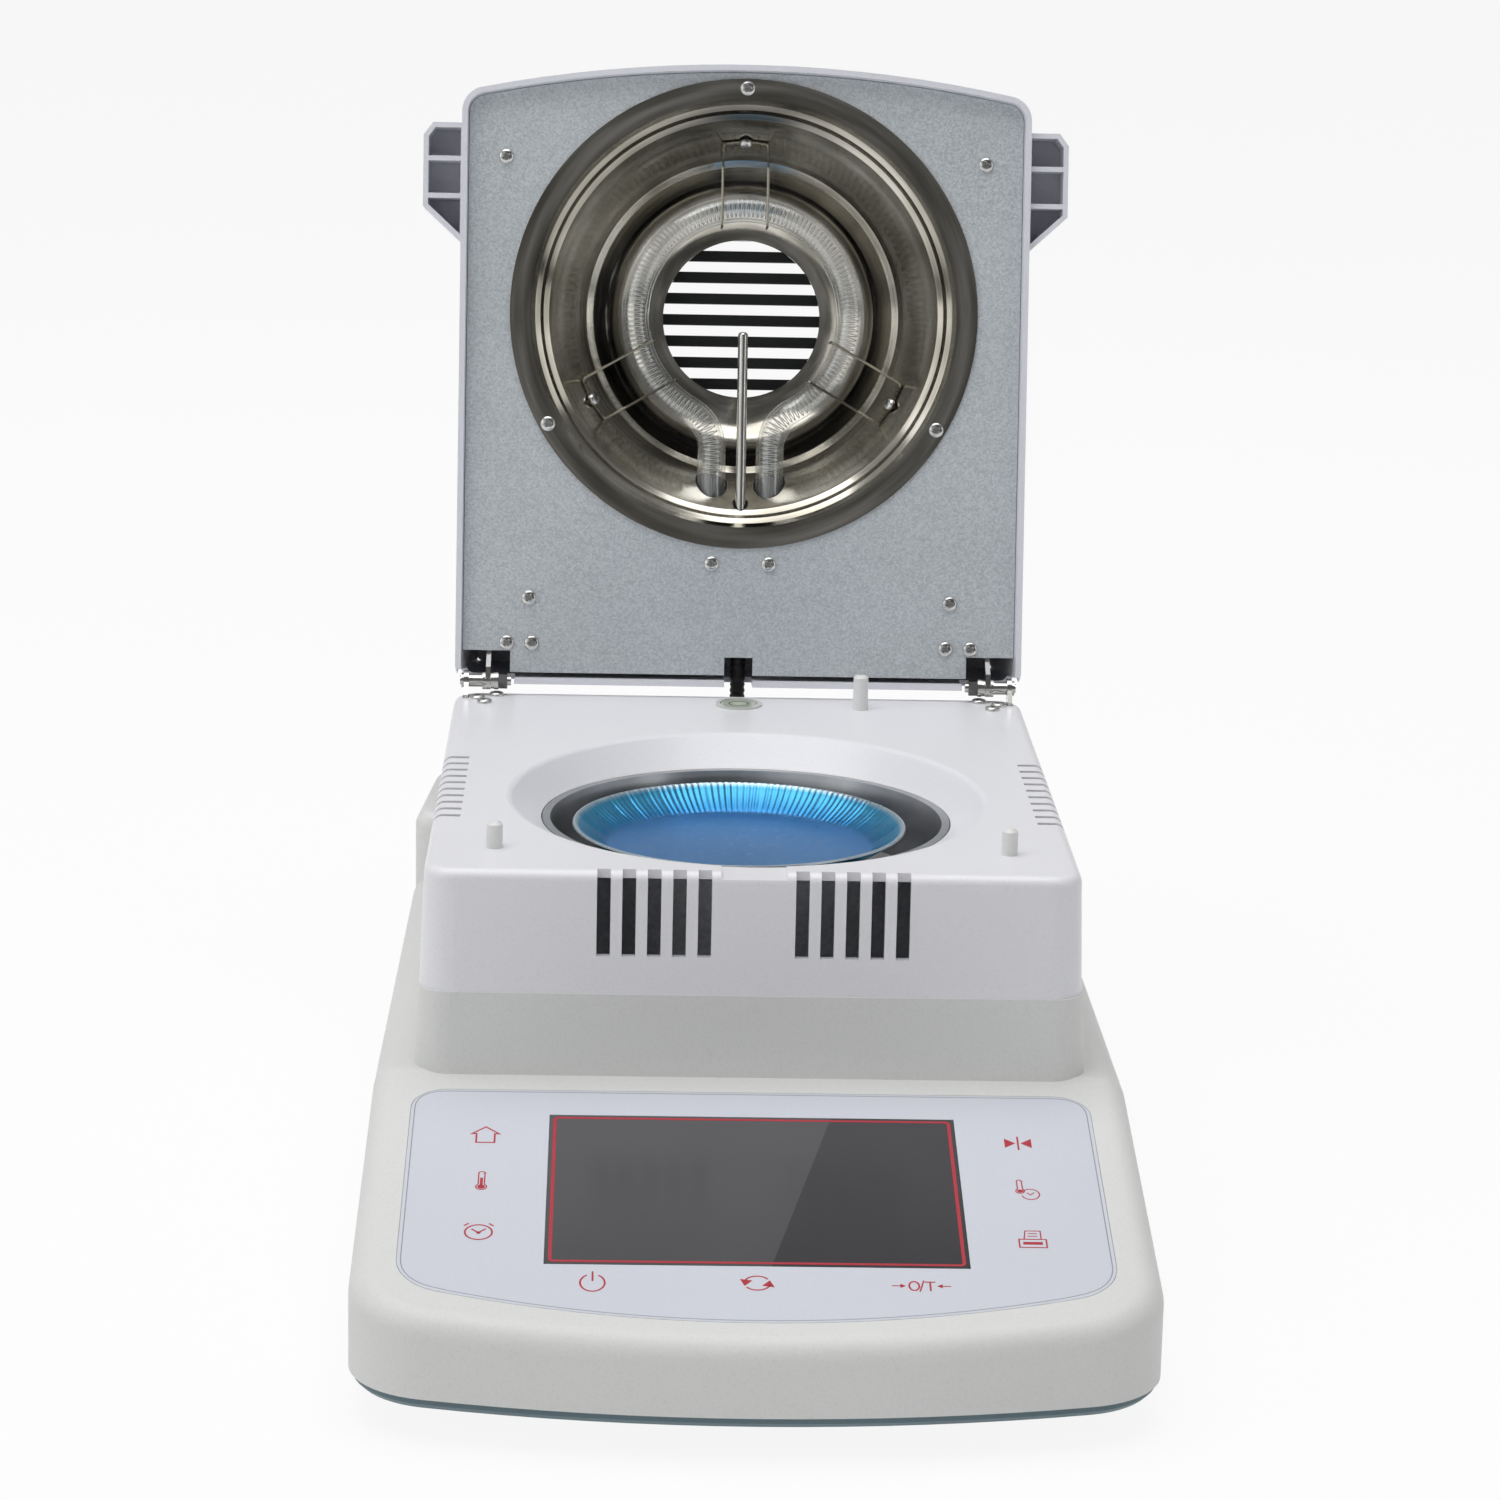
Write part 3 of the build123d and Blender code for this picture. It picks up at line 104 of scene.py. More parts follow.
def node(tree, kind, values=None, **settings):
    made = tree.nodes.new(kind)
    for key, value in settings.items():
        setattr(made, key, value)
    for key, value in (values or {}).items():
        if isinstance(value, bpy.types.NodeSocket):
            tree.links.new(value, made.inputs[key])
        else:
            made.inputs[key].default_value = value
    return made


def calc(tree, operation, first, second=0.0):
    return node(tree, "ShaderNodeMath", {0: first, 1: second}, operation=operation).outputs[0]


def times(tree, first, second):
    return calc(tree, "MULTIPLY", first, second)


def ramp(tree, factor, stops):
    made = node(tree, "ShaderNodeValToRGB", {"Fac": factor})
    elements = made.color_ramp.elements
    while len(elements) < len(stops):
        elements.new(0.5)
    for element, (place, colour) in zip(elements, stops):
        element.position = place
        element.color = colour
    return made.outputs["Color"]


def mixColour(tree, factor, first, second, blend="MIX"):
    made = node(tree, "ShaderNodeMix", data_type="RGBA", blend_type=blend)
    for key, kind, value in (("Factor", "VALUE", factor), ("A", "RGBA", first), ("B", "RGBA", second)):
        socket = [s for s in made.inputs if s.name == key and s.type == kind][0]
        if isinstance(value, bpy.types.NodeSocket):
            tree.links.new(value, socket)
        else:
            socket.default_value = value
    return [s for s in made.outputs if s.type == "RGBA"][0]


# a colour darkened by a mask that is white where nothing changes
def masked(tree, colour, mask):
    return mixColour(tree, 1.0, colour, mask, "MULTIPLY")


def noise(tree, vector, scale, detail=3.0, roughness=0.5):
    return node(
        tree, "ShaderNodeTexNoise",
        {"Vector": vector, "Scale": scale, "Detail": detail, "Roughness": roughness},
    ).outputs["Fac"]


def mapRange(tree, value, source, target):
    return node(
        tree, "ShaderNodeMapRange",
        {
            "Value": value, "From Min": source[0], "From Max": source[1],
            "To Min": target[0], "To Max": target[1],
        },
    ).outputs["Result"]


# roughness that follows a texture, a little smoother and a little rougher than the middle
def variedRoughness(tree, texture, middle, smoother, rougher):
    return mapRange(tree, texture, (0.3, 0.7), (middle - smoother, middle + rougher))


def objectCoords(tree):
    return node(tree, "ShaderNodeTexCoord").outputs["Object"]


def radiusAbout(tree, place, centre):
    shifted = node(tree, "ShaderNodeVectorMath", {0: place, 1: centre}, operation="SUBTRACT").outputs[0]
    split = node(tree, "ShaderNodeSeparateXYZ", {"Vector": shifted})
    flat = node(tree, "ShaderNodeCombineXYZ", {0: split.outputs[0], 1: split.outputs[1], 2: 0.0}).outputs[0]
    return node(tree, "ShaderNodeVectorMath", {0: flat}, operation="LENGTH").outputs["Value"]


def closeShader(tree, values, height=None, strength=0.2, distance=0.00005):
    values = dict(values)
    if height is not None:
        values["Normal"] = node(
            tree, "ShaderNodeBump", {"Strength": strength, "Distance": distance, "Height": height}
        ).outputs["Normal"]
    shader = node(tree, "ShaderNodeBsdfPrincipled", values)
    output = node(tree, "ShaderNodeOutputMaterial")
    tree.links.new(shader.outputs[0], output.inputs["Surface"])


# Finishes: one function each, and one table of what they are given

plasticUsual = {"grain": 1500.0, "grainDepth": 0.00004, "mottle": 0.03, "coat": 0.0}
metalUsual = {"scratch": 0.06, "grain": 900.0, "stretch": (1, 1, 8), "metallic": 1.0}


def mouldedPlastic(name, settings):
    settings = {**plasticUsual, **settings}
    colour, mottle = settings["colour"], settings["mottle"]
    material, tree = newTree(name)
    place = objectCoords(tree)
    broad = noise(tree, place, scale=9.0, detail=2.0)
    fine = noise(tree, place, scale=settings["grain"], detail=2.0)
    handled = noise(tree, place, scale=24.0, detail=2.0)
    tint = ramp(tree, broad, [(0.3, shadeOf(colour, 1 - mottle)), (0.7, shadeOf(colour, 1 + mottle * 0.4))])
    specks = ramp(tree, fine, [(0.25, grey(0.94)), (0.5, white)])
    closeShader(
        tree,
        {
            "Base Color": masked(tree, tint, specks), "IOR": 1.46,
            "Roughness": variedRoughness(tree, handled, settings["roughness"], 0.02, 0.03),
            "Coat Weight": settings["coat"], "Coat Roughness": 0.12,
        },
        fine, strength=0.25, distance=settings["grainDepth"],
    )
    return material


def platedMetal(name, settings):
    settings = {**metalUsual, **settings}
    colour, roughness, scratch = settings["colour"], settings["roughness"], settings["scratch"]
    material, tree = newTree(name)
    place = objectCoords(tree)
    pulled = node(tree, "ShaderNodeMapping", {"Vector": place, "Scale": settings["stretch"]}).outputs[0]
    lines = noise(tree, pulled, scale=settings["grain"], detail=3.0, roughness=0.6)
    broad = noise(tree, place, scale=70.0, detail=3.0)
    base = ramp(tree, broad, [(0.3, shadeOf(colour, 0.82)), (0.65, colour)])
    rough = mapRange(tree, lines, (0.3, 0.7), (max(0.03, roughness - scratch), roughness + scratch))
    closeShader(
        tree, {"Base Color": base, "Metallic": settings["metallic"], "Roughness": rough},
        lines, strength=0.12, distance=0.00002,
    )
    return material


def zincPlate(name, settings):
    material, tree = newTree(name)
    place = objectCoords(tree)
    spangle = node(
        tree, "ShaderNodeTexVoronoi", {"Vector": place, "Scale": settings["spangleScale"], "Randomness": 1.0}
    ).outputs["Color"]
    spangleGrey = node(tree, "ShaderNodeSeparateColor", {"Color": spangle}).outputs["Red"]
    fine = noise(tree, place, scale=settings["grainScale"], detail=4.0, roughness=0.7)
    broad = noise(tree, place, scale=14.0, detail=3.0)
    mixedGrey = calc(tree, "ADD", times(tree, spangleGrey, 0.35), times(tree, fine, 0.65))
    tint = ramp(
        tree, mixedGrey, [(0.28, settings["dark"]), (0.5, settings["middle"]), (0.75, settings["light"])]
    )
    stain = ramp(tree, broad, [(0.35, grey(0.93)), (0.6, white)])
    closeShader(
        tree,
        {
            "Base Color": masked(tree, tint, stain), "Metallic": settings["metallic"],
            "Roughness": variedRoughness(tree, mixedGrey, settings["roughness"], 0.06, 0.08),
        },
        fine, strength=0.15, distance=0.00004,
    )
    return material


# distance from the lamp's axis, angle round it and depth along it
def lampPlace(tree):
    made = node(tree, "ShaderNodeMapping", {"Vector": objectCoords(tree)}, vector_type="TEXTURE")
    made.inputs["Location"].default_value = lidPoint(0, lidSettings["lampCentre"], 0)
    made.inputs["Rotation"].default_value = (math.radians(90 - lidSettings["lean"]), 0, 0)
    x, y, depth = node(tree, "ShaderNodeSeparateXYZ", {"Vector": made.outputs["Vector"]}).outputs
    radius = calc(tree, "SQRT", calc(tree, "ADD", times(tree, x, x), times(tree, y, y)))
    return radius, calc(tree, "ARCTAN2", y, x), depth


# polished spun steel whose base colour carries painted reflection bands, dark to bright, out along the cone
# and round its axis; the fine turned grooves are the metal's own
def spunSteel(name, settings):
    material, tree = newTree(name)
    radius, angle, depth = lampPlace(tree)
    along = calc(tree, "ADD", radius, times(tree, depth, -0.6))
    turned = node(
        tree, "ShaderNodeCombineXYZ",
        {0: times(tree, along, settings["lineScale"]), 1: times(tree, angle, 1.2), 2: 0.0},
    ).outputs[0]
    reflectionBandPlace = node(
        tree, "ShaderNodeCombineXYZ",
        {
            0: times(tree, along, settings["reflectionBandScale"]),
            1: calc(tree, "SINE", angle), 2: calc(tree, "COSINE", angle),
        },
    ).outputs[0]
    lines = noise(tree, turned, scale=1.0, detail=3.0, roughness=0.6)
    reflectionBands = noise(tree, reflectionBandPlace, scale=1.4, detail=2.0)
    # painted reflection: dark, middle, light and bright tones stand in for the room mirrored in the
    # reflector
    paintedReflectionTone = ramp(
        tree, reflectionBands,
        [
            (0.28, settings["dark"]), (0.45, settings["middle"]),
            (0.62, settings["light"]), (0.8, settings["bright"]),
        ],
    )
    grooves = ramp(tree, lines, [(0.3, grey(0.86)), (0.6, white)])
    closeShader(
        tree,
        {
            "Base Color": masked(tree, paintedReflectionTone, grooves), "Metallic": 1.0,
            "Roughness": variedRoughness(tree, lines, settings["roughness"], 0.04, 0.06),
        },
        lines, strength=0.1, distance=settings["lineDepth"],
    )
    return material


# a film that is nearly clear face on and bright along its edges
def clearGlass(name, settings):
    material, tree = newTree(name)
    smear = noise(tree, objectCoords(tree), scale=160.0, detail=3.0)
    facing = node(tree, "ShaderNodeLayerWeight", {"Blend": 0.35}).outputs["Facing"]
    colour = settings["colour"]
    closeShader(
        tree,
        {
            "Base Color": ramp(tree, smear, [(0.3, shadeOf(colour, 0.94)), (0.7, colour)]),
            "Roughness": mapRange(tree, smear, (0.3, 0.7), (0.03, 0.08)), "Metallic": 0.8,
            "Alpha": mapRange(tree, facing, (settings["from"], 1.0), (settings["thin"], settings["edge"])),
        },
    )
    return material


# dark glass with a painted reflection: a paler half beyond a slanting line, and both halves paler towards
# the top
def displayGlass(name, settings):
    material, tree = newTree(name)
    slope = math.radians(panelSettings["slope"])
    place = objectCoords(tree)
    across = node(tree, "ShaderNodeSeparateXYZ", {"Vector": place}).outputs["X"]
    start = panelPoint(0, 0, 0)
    upPanel = node(
        tree, "ShaderNodeVectorMath", {0: place, 1: (0, math.cos(slope), math.sin(slope))},
        operation="DOT_PRODUCT",
    ).outputs["Value"]
    up = calc(tree, "SUBTRACT", upPanel, start.y * math.cos(slope) + start.z * math.sin(slope))
    (topX, topY), (lowX, lowY) = settings["glareTop"], settings["glareLow"]
    lean = (topX - lowX) / (topY - lowY)
    lineX = calc(tree, "ADD", times(tree, calc(tree, "SUBTRACT", up, topY * mm), lean), topX * mm)
    side = mapRange(tree, calc(tree, "SUBTRACT", across, lineX), (-0.0001, 0.0001), (0.0, 1.0))
    fade = mapRange(tree, up, (lowY * mm, topY * mm), (0.0, 1.0))
    # painted reflection: the pale side of the line and the lift towards the top stand in for glare on the
    # glass
    paintedGlareSide = ramp(tree, fade, [(0.0, settings["glarePaleLow"]), (1.0, settings["glarePaleTop"])])
    paintedDimSide = ramp(tree, fade, [(0.0, settings["glareDimLow"]), (1.0, settings["glareDimTop"])])
    smear = noise(tree, place, scale=40.0, detail=3.0)
    haze = ramp(tree, smear, [(0.3, grey(0.97)), (0.7, white)])
    closeShader(
        tree,
        {
            "Base Color": masked(tree, mixColour(tree, side, paintedGlareSide, paintedDimSide), haze),
            "Roughness": mapRange(tree, smear, (0.3, 0.7), (0.16, 0.24)),
            "IOR": 1.45, "Specular IOR Level": 0.25,
        },
    )
    return material


# colour by the distance from the pan's middle: floor, wall and bare rim, with painted shade on the lower
# wall and painted light on its top
def blueFoil(name, settings):
    material, tree = newTree(name)
    place = objectCoords(tree)
    floor, wall = settings["floor"], settings["wall"]
    outward = mapRange(tree, radiusAbout(tree, place, settings["centre"]), (0.036, 0.050), (0.0, 1.0))
    # painted shade: the wall darker than the floor low down; painted light: paler towards its top
    tint = ramp(
        tree, outward,
        [(0.0, floor), (0.24, floor), (0.34, wall), (0.84, settings["litWallTop"]), (0.93, settings["rim"])],
    )
    crease = noise(tree, place, scale=420.0, detail=5.0, roughness=0.65)
    # painted shade: a cool darkening in the crinkle valleys, where the same noise bumps the foil down
    paintedCreaseShade = ramp(tree, crease, [(0.32, (0.80, 0.86, 0.92, 1)), (0.6, white)])
    closeShader(
        tree,
        {
            "Base Color": masked(tree, tint, paintedCreaseShade), "Metallic": 0.85,
            "Roughness": variedRoughness(tree, crease, settings["roughness"], 0.06, 0.08),
        },
        crease, strength=0.35, distance=0.00015,
    )
    return material


# colour by the distance from the level's middle: bubble, fluid, marked ring and rim
def levelGlassFinish(name, settings):
    material, tree = newTree(name)
    place = objectCoords(tree)
    bubble, fluid, mark = settings["bubble"], settings["fluid"], settings["mark"]
    outward = mapRange(tree, radiusAbout(tree, place, settings["centre"]), (0.0, 0.006), (0.0, 1.0))
    tint = ramp(
        tree, outward,
        [
            (0.0, bubble), (0.30, bubble), (0.34, fluid), (0.47, fluid),
            (0.49, mark), (0.55, mark), (0.57, fluid), (0.98, settings["rim"]),
        ],
    )
    haze = ramp(tree, noise(tree, place, scale=500.0, detail=2.0), [(0.3, grey(0.96)), (0.7, white)])
    closeShader(
        tree, {"Base Color": masked(tree, tint, haze), "Roughness": 0.08, "IOR": 1.5, "Coat Weight": 0.6}
    )
    return material


def boardFinish(name, settings):
    material, tree = newTree(name)
    place = objectCoords(tree)
    lacquer = settings["lacquer"]
    tracks = node(
        tree, "ShaderNodeTexBrick",
        {
            "Vector": place, "Scale": 260.0, "Mortar Size": 0.012,
            "Color1": lacquer, "Color2": shadeOf(lacquer, 0.8), "Mortar": settings["copper"],
        },
    ).outputs["Color"]
    fine = noise(tree, place, scale=700.0, detail=3.0)
    rough = mapRange(tree, fine, (0.3, 0.7), (0.28, 0.4))
    closeShader(tree, {"Base Color": tracks, "Roughness": rough}, fine, strength=0.1, distance=0.00003)
    return material


def printInk(name, settings):
    material, tree = newTree(name)
    colour = settings["colour"]
    grain = noise(tree, objectCoords(tree), scale=2500.0, detail=2.0)
    base = ramp(tree, grain, [(0.3, shadeOf(colour, 0.9)), (0.7, colour)])
    closeShader(tree, {"Base Color": base, "Roughness": 0.42}, grain, strength=0.1, distance=0.00001)
    return material


# nodes are the parts that wear the finish as they come
finishSettings = {
    "housingPlastic": {
        "maker": mouldedPlastic, "colour": srgb(223, 224, 222), "roughness": 0.48, "grain": 1300.0,
        "grainDepth": 0.00005, "mottle": 0.02, "nodes": ["base_cover"],
    },
    "chamberPaint": {
        "maker": mouldedPlastic, "colour": srgb(235, 235, 239), "roughness": 0.3, "grain": 1800.0,
        "grainDepth": 0.000012, "mottle": 0.01, "coat": 0.06, "nodes": ["chamber_cover"],
    },
    "lidPlastic": {
        "maker": mouldedPlastic, "colour": srgb(226, 227, 234), "roughness": 0.36, "grain": 1300.0,
        "mottle": 0.02, "nodes": ["lid_shell"],
    },
    "whitePlastic": {
        "maker": mouldedPlastic, "colour": srgb(232, 232, 231), "roughness": 0.3,
        "grainDepth": 0.00003, "nodes": ["rest_pins", "switch_plunger"],
    },
    "panelFilm": {
        "maker": mouldedPlastic, "colour": srgb(212, 215, 224), "roughness": 0.38, "grain": 2600.0,
        "grainDepth": 0.00002, "mottle": 0.012, "nodes": ["control_panel"],
    },
    "tealPaint": {
        "maker": mouldedPlastic, "colour": srgb(96, 119, 127), "roughness": 0.45, "grain": 900.0,
        "grainDepth": 0.00006, "mottle": 0.06, "nodes": ["bottom_plate"],
    },
    "blackPlastic": {
        "maker": mouldedPlastic, "colour": srgb(38, 38, 40), "roughness": 0.42, "mottle": 0.1,
        "nodes": [
            "foot_wheel_left", "foot_wheel_right", "display_module", "micro_switch", "power_inlet",
            "power_switch_frame", "fuse_holder",
        ],
    },
    "blackGloss": {
        "maker": mouldedPlastic, "colour": srgb(26, 26, 28), "roughness": 0.18, "grain": 1200.0,
        "grainDepth": 0.00002, "mottle": 0.1, "nodes": ["rocker"],
    },
    "blackPaint": {
        "maker": mouldedPlastic, "colour": srgb(34, 36, 38), "roughness": 0.4, "grain": 800.0,
        "grainDepth": 0.00006, "mottle": 0.12, "nodes": ["vent_grille"],
    },
    "footRubber": {
        "maker": mouldedPlastic, "colour": srgb(40, 41, 43), "roughness": 0.7, "grain": 900.0,
        "grainDepth": 0.0001, "mottle": 0.12, "nodes": ["front_feet"],
    },
    "sleeveRubber": {
        "maker": mouldedPlastic, "colour": srgb(26, 26, 28), "roughness": 0.5, "grain": 1600.0,
        "mottle": 0.12, "nodes": ["lid_lead"],
    },
    "ceramic": {
        "maker": mouldedPlastic, "colour": srgb(232, 229, 220), "roughness": 0.6, "grain": 800.0,
        "grainDepth": 0.00008, "mottle": 0.05, "nodes": ["lamp_holder"],
    },
    "paleClear": {
        "maker": mouldedPlastic, "colour": srgb(206, 209, 203), "roughness": 0.18, "grain": 1200.0,
        "grainDepth": 0.00002, "mottle": 0.04, "coat": 0.3, "nodes": ["level_cup"],
    },
    "brightNickel": {
        "maker": platedMetal, "colour": srgb(205, 204, 200), "roughness": 0.2,
        "nodes": [
            "hinge_brackets", "hinge_pins", "hinge_sleeves", "hinge_arms", "sensor_rod", "sensor_gland",
            "serial_port",
        ],
    },
    "screwNickel": {
        "maker": platedMetal, "colour": srgb(214, 214, 212), "roughness": 0.22, "scratch": 0.05,
        "grain": 1400.0,
        "nodes": ["lid_screws", "flange_screws", "clip_screws", "hinge_screws", "base_screws"],
    },
    "darkSteel": {
        "maker": platedMetal, "colour": srgb(112, 112, 114), "roughness": 0.34, "nodes": ["hinge_nuts"],
    },
    "satinSteel": {
        "maker": platedMetal, "colour": srgb(168, 168, 166), "roughness": 0.3, "scratch": 0.07,
        "grain": 700.0,
        "nodes": ["foot_stud_left", "foot_stud_right", "load_stem", "pan_support", "plunger_spring"],
    },
    "clipSteel": {
        "maker": platedMetal, "colour": srgb(138, 134, 122), "roughness": 0.26, "scratch": 0.05,
        "grain": 1200.0, "nodes": ["lamp_clips"],
    },
    "dishSteel": {
        "maker": platedMetal, "colour": srgb(196, 197, 199), "roughness": 0.33, "scratch": 0.05,
        "grain": 500.0, "nodes": ["heat_shield_dish"],
    },
    "milledAluminium": {
        "maker": platedMetal, "colour": srgb(196, 198, 200), "roughness": 0.32, "scratch": 0.08,
        "grain": 500.0, "stretch": (8, 1, 1), "nodes": ["load_cell_bracket", "load_cell"],
    },
    "filamentWire": {
        "maker": platedMetal, "colour": srgb(236, 234, 228), "roughness": 0.45, "scratch": 0.05,
        "grain": 2000.0, "metallic": 0.45, "nodes": ["lamp_filament"],
    },
    "zincPlate": {
        "maker": zincPlate, "spangleScale": 1900.0, "grainScale": 2600.0, "metallic": 0.55, "roughness": 0.5,
        "dark": srgb(188, 195, 199), "middle": srgb(206, 212, 216), "light": srgb(224, 229, 232),
        "nodes": ["lid_plate"],
    },
    "linerSteel": {
        "maker": zincPlate, "spangleScale": 700.0, "grainScale": 1200.0, "metallic": 0.1, "roughness": 0.5,
        "dark": srgb(222, 226, 229), "middle": srgb(234, 237, 240), "light": srgb(246, 248, 250),
        "nodes": ["chamber_floor", "chamber_liner"],
    },
    # the reflector's dark, middle, light and bright tones are painted reflection bands
    "spunSteel": {
        "maker": spunSteel, "lineScale": 5200.0, "reflectionBandScale": 160.0, "lineDepth": 0.00003, "roughness": 0.12,
        "dark": srgb(120, 117, 108), "middle": srgb(165, 161, 150), "light": srgb(206, 202, 192),
        "bright": srgb(232, 229, 220), "nodes": ["reflector"],
    },
    "lampGlass": {
        "maker": clearGlass, "colour": srgb(240, 243, 242), "from": 0.3, "thin": 0.13, "edge": 0.92,
        "nodes": ["lamp_tube"],
    },
    # the pale and dim tones either side of the glare line are a painted reflection on the display glass
    "displayGlass": {
        "maker": displayGlass, "glareTop": (21.6, -25.0), "glareLow": (4.1, -98.3),
        "glarePaleTop": srgb(92, 92, 95), "glarePaleLow": srgb(82, 82, 84),
        "glareDimTop": srgb(74, 73, 76), "glareDimLow": srgb(62, 61, 64), "nodes": ["display_window"],
    },
    # the pan's wall tones are painted shade low down and painted light at the top
    "blueFoil": {
        "maker": blueFoil, "centre": (-0.002, 0.0086, 0.0), "roughness": 0.32, "floor": srgb(74, 142, 204),
        "wall": srgb(48, 128, 182), "litWallTop": srgb(70, 156, 194), "rim": srgb(198, 210, 217),
        "nodes": ["sample_pan"],
    },
    "levelGlass": {
        "maker": levelGlassFinish, "centre": (0.0, 0.1186, 0.0), "fluid": srgb(205, 214, 196),
        "bubble": srgb(226, 232, 216), "mark": srgb(120, 122, 112), "rim": srgb(186, 190, 186),
        "nodes": ["level_glass"],
    },
    "circuitBoard": {
        "maker": boardFinish, "lacquer": srgb(34, 104, 62), "copper": srgb(150, 128, 70),
        "nodes": ["main_board", "power_board"],
    },
    "redInk": {"maker": printInk, "colour": srgb(184, 36, 54), "nodes": []},
    "greyInk": {"maker": printInk, "colour": srgb(150, 153, 162), "nodes": []},
}

finishes = {}
dressed = set()
for finish, settings in finishSettings.items():
    finishes[finish] = settings["maker"](finish, settings)
    for name in settings["nodes"]:
        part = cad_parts[name]
        part.data.materials.clear()
        part.data.materials.append(finishes[finish])
        dressed.add(name)
print("finishes:", len(finishes), "left bare:", sorted(set(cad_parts) - dressed))


# Mesh helpers

def placeObject(name, data):
    made = bpy.data.objects.new(name, data)
    bpy.context.scene.collection.objects.link(made)
    return made


def makePiece(name, mesh, finish, body, replaced=(), smooth=True):
    piece = placeObject(name, mesh)
    mesh.materials.clear()
    mesh.materials.append(finishes[finish])
    if smooth:
        mesh.shade_smooth()
        mesh.set_sharp_from_angle(angle=math.radians(35))
    if body:
        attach(piece, body)
    if replaced:
        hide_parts(*replaced)
    return piece


def meshFrom(name, points, faces):
    mesh = bpy.data.meshes.new(name)
    mesh.from_pydata([tuple(p) for p in points], [], faces)
    work = bmesh.new()
    work.from_mesh(mesh)
    bmesh.ops.recalc_face_normals(work, faces=work.faces)
    work.to_mesh(mesh)
    work.free()
    mesh.update()
    return mesh


# a ring round the vertical axis, with a closed section
def closedLathe(profile, sides, shift):
    points, faces = [], []
    count = len(profile)
    for side in range(sides):
        angle = 2 * math.pi * side / sides
        for radius, height in profile:
            reach = radius + shift(angle, radius)
            points.append(Vector((reach * math.cos(angle), reach * math.sin(angle), height)))
    for side in range(sides):
        here, ahead = side * count, (side + 1) % sides * count
        for index in range(count):
            following = (index + 1) % count
            faces.append((here + index, ahead + index, ahead + following, here + following))
    return points, faces


# a round section set across a line
def sectionAt(middle, first, second, radius, sides):
    spots = []
    for side in range(sides):
        angle = 2 * math.pi * side / sides
        spots.append(middle + (first * math.cos(angle) + second * math.sin(angle)) * radius)
    return spots


# walls between rings of points that follow each other, and a cap on both ends
def tubeFaces(rings, sides):
    faces = []
    for index in range(rings - 1):
        here, ahead = index * sides, (index + 1) * sides
        for side in range(sides):
            after = (side + 1) % sides
            faces.append((here + side, here + after, ahead + after, ahead + side))
    faces.append(tuple(range(sides)))
    faces.append(tuple(range((rings - 1) * sides, rings * sides)))
    return faces


# Screws with a domed head and a cross recess

screwSettings = {
    "sides": 32, "domeSteps": 6, "crown": 0.35, "rim": 0.42, "domeTurn": 0.98, "point": 0.3,
    "recessLength": 0.62, "recessWidth": 0.17, "recessDepth": 0.62, "recessFloor": 0.72, "recessMouth": 1.05,
    "recessAbove": 0.4,
}
plateScrews = {
    "head": (2.4, 1.3), "shank": (1.2, 6.6), "level": -3.2, "turn": math.pi / 2,
    "spots": [(77.7, 169.5), (68.5, 27.0), (75.5, 12.3), (67.4, 12.3), (9.3, 39.0)],
}
flangeScrews = {
    "head": (2.4, 1.2), "shank": (1.2, 5.6), "level": -2.4, "turn": math.pi / 2,
    "circle": 72.8, "angles": (90, 210, 330),
}
clipScrews = {
    "head": (2.1, 1.4), "shank": (0.9, 6.6), "level": -17.04, "turn": 1.5,
    "circle": 57.0, "angles": (90, 210, 330), "lift": 1.3, "tilt": (-0.7566, 0.6539),
}
hingeScrews = {
    "head": (2.4, 1.3), "shank": (1.2, 5.6), "level": 119.5, "turn": 1.5,
    "spots": [(84.4, 122.4), (78.4, 127.2), (82.0, 116.8)],
}
undersideScrews = {
    "head": (2.8, 1.8), "shank": (1.4, 13.4), "level": 9.4, "turn": 1.5,
    "spots": [(92.0, -120.0), (92.0, 56.0), (88.0, 158.0)],
}


def screwBlank(headRadius, headHeight, shankRadius, shankLength):
    crown, rim, steps = screwSettings["crown"], screwSettings["rim"], screwSettings["domeSteps"]
    profile = []
    for step in range(1, steps):
        angle = math.pi / 2 * step / steps
        profile.append((
            headRadius * (crown + (1 - crown) * math.sin(angle)),
            headHeight * (rim + (1 - rim) * math.cos(angle * screwSettings["domeTurn"])),
        ))
    profile += [(headRadius, headHeight * rim), (headRadius, 0.0)]
    profile += [(shankRadius, 0.0), (shankRadius, -shankLength)]
    sides = screwSettings["sides"]
    work = bmesh.new()
    top = work.verts.new((0, 0, headHeight * mm))
    tip = work.verts.new((0, 0, (-shankLength - shankRadius * screwSettings["point"]) * mm))
    rings = []
    for radius, height in profile:
        ring = sectionAt(Vector((0, 0, height)), Vector((1, 0, 0)), Vector((0, 1, 0)), radius, sides)
        rings.append([work.verts.new(spot * mm) for spot in ring])
    for side in range(sides):
        after = (side + 1) % sides
        work.faces.new((top, rings[0][side], rings[0][after]))
        work.faces.new((tip, rings[-1][after], rings[-1][side]))
        for upper, lower in zip(rings, rings[1:]):
            work.faces.new((upper[side], lower[side], lower[after], upper[after]))
    bmesh.ops.recalc_face_normals(work, faces=work.faces)
    mesh = bpy.data.meshes.new("screwBlank")
    work.to_mesh(mesh)
    work.free()
    return placeObject("screwBlank", mesh)


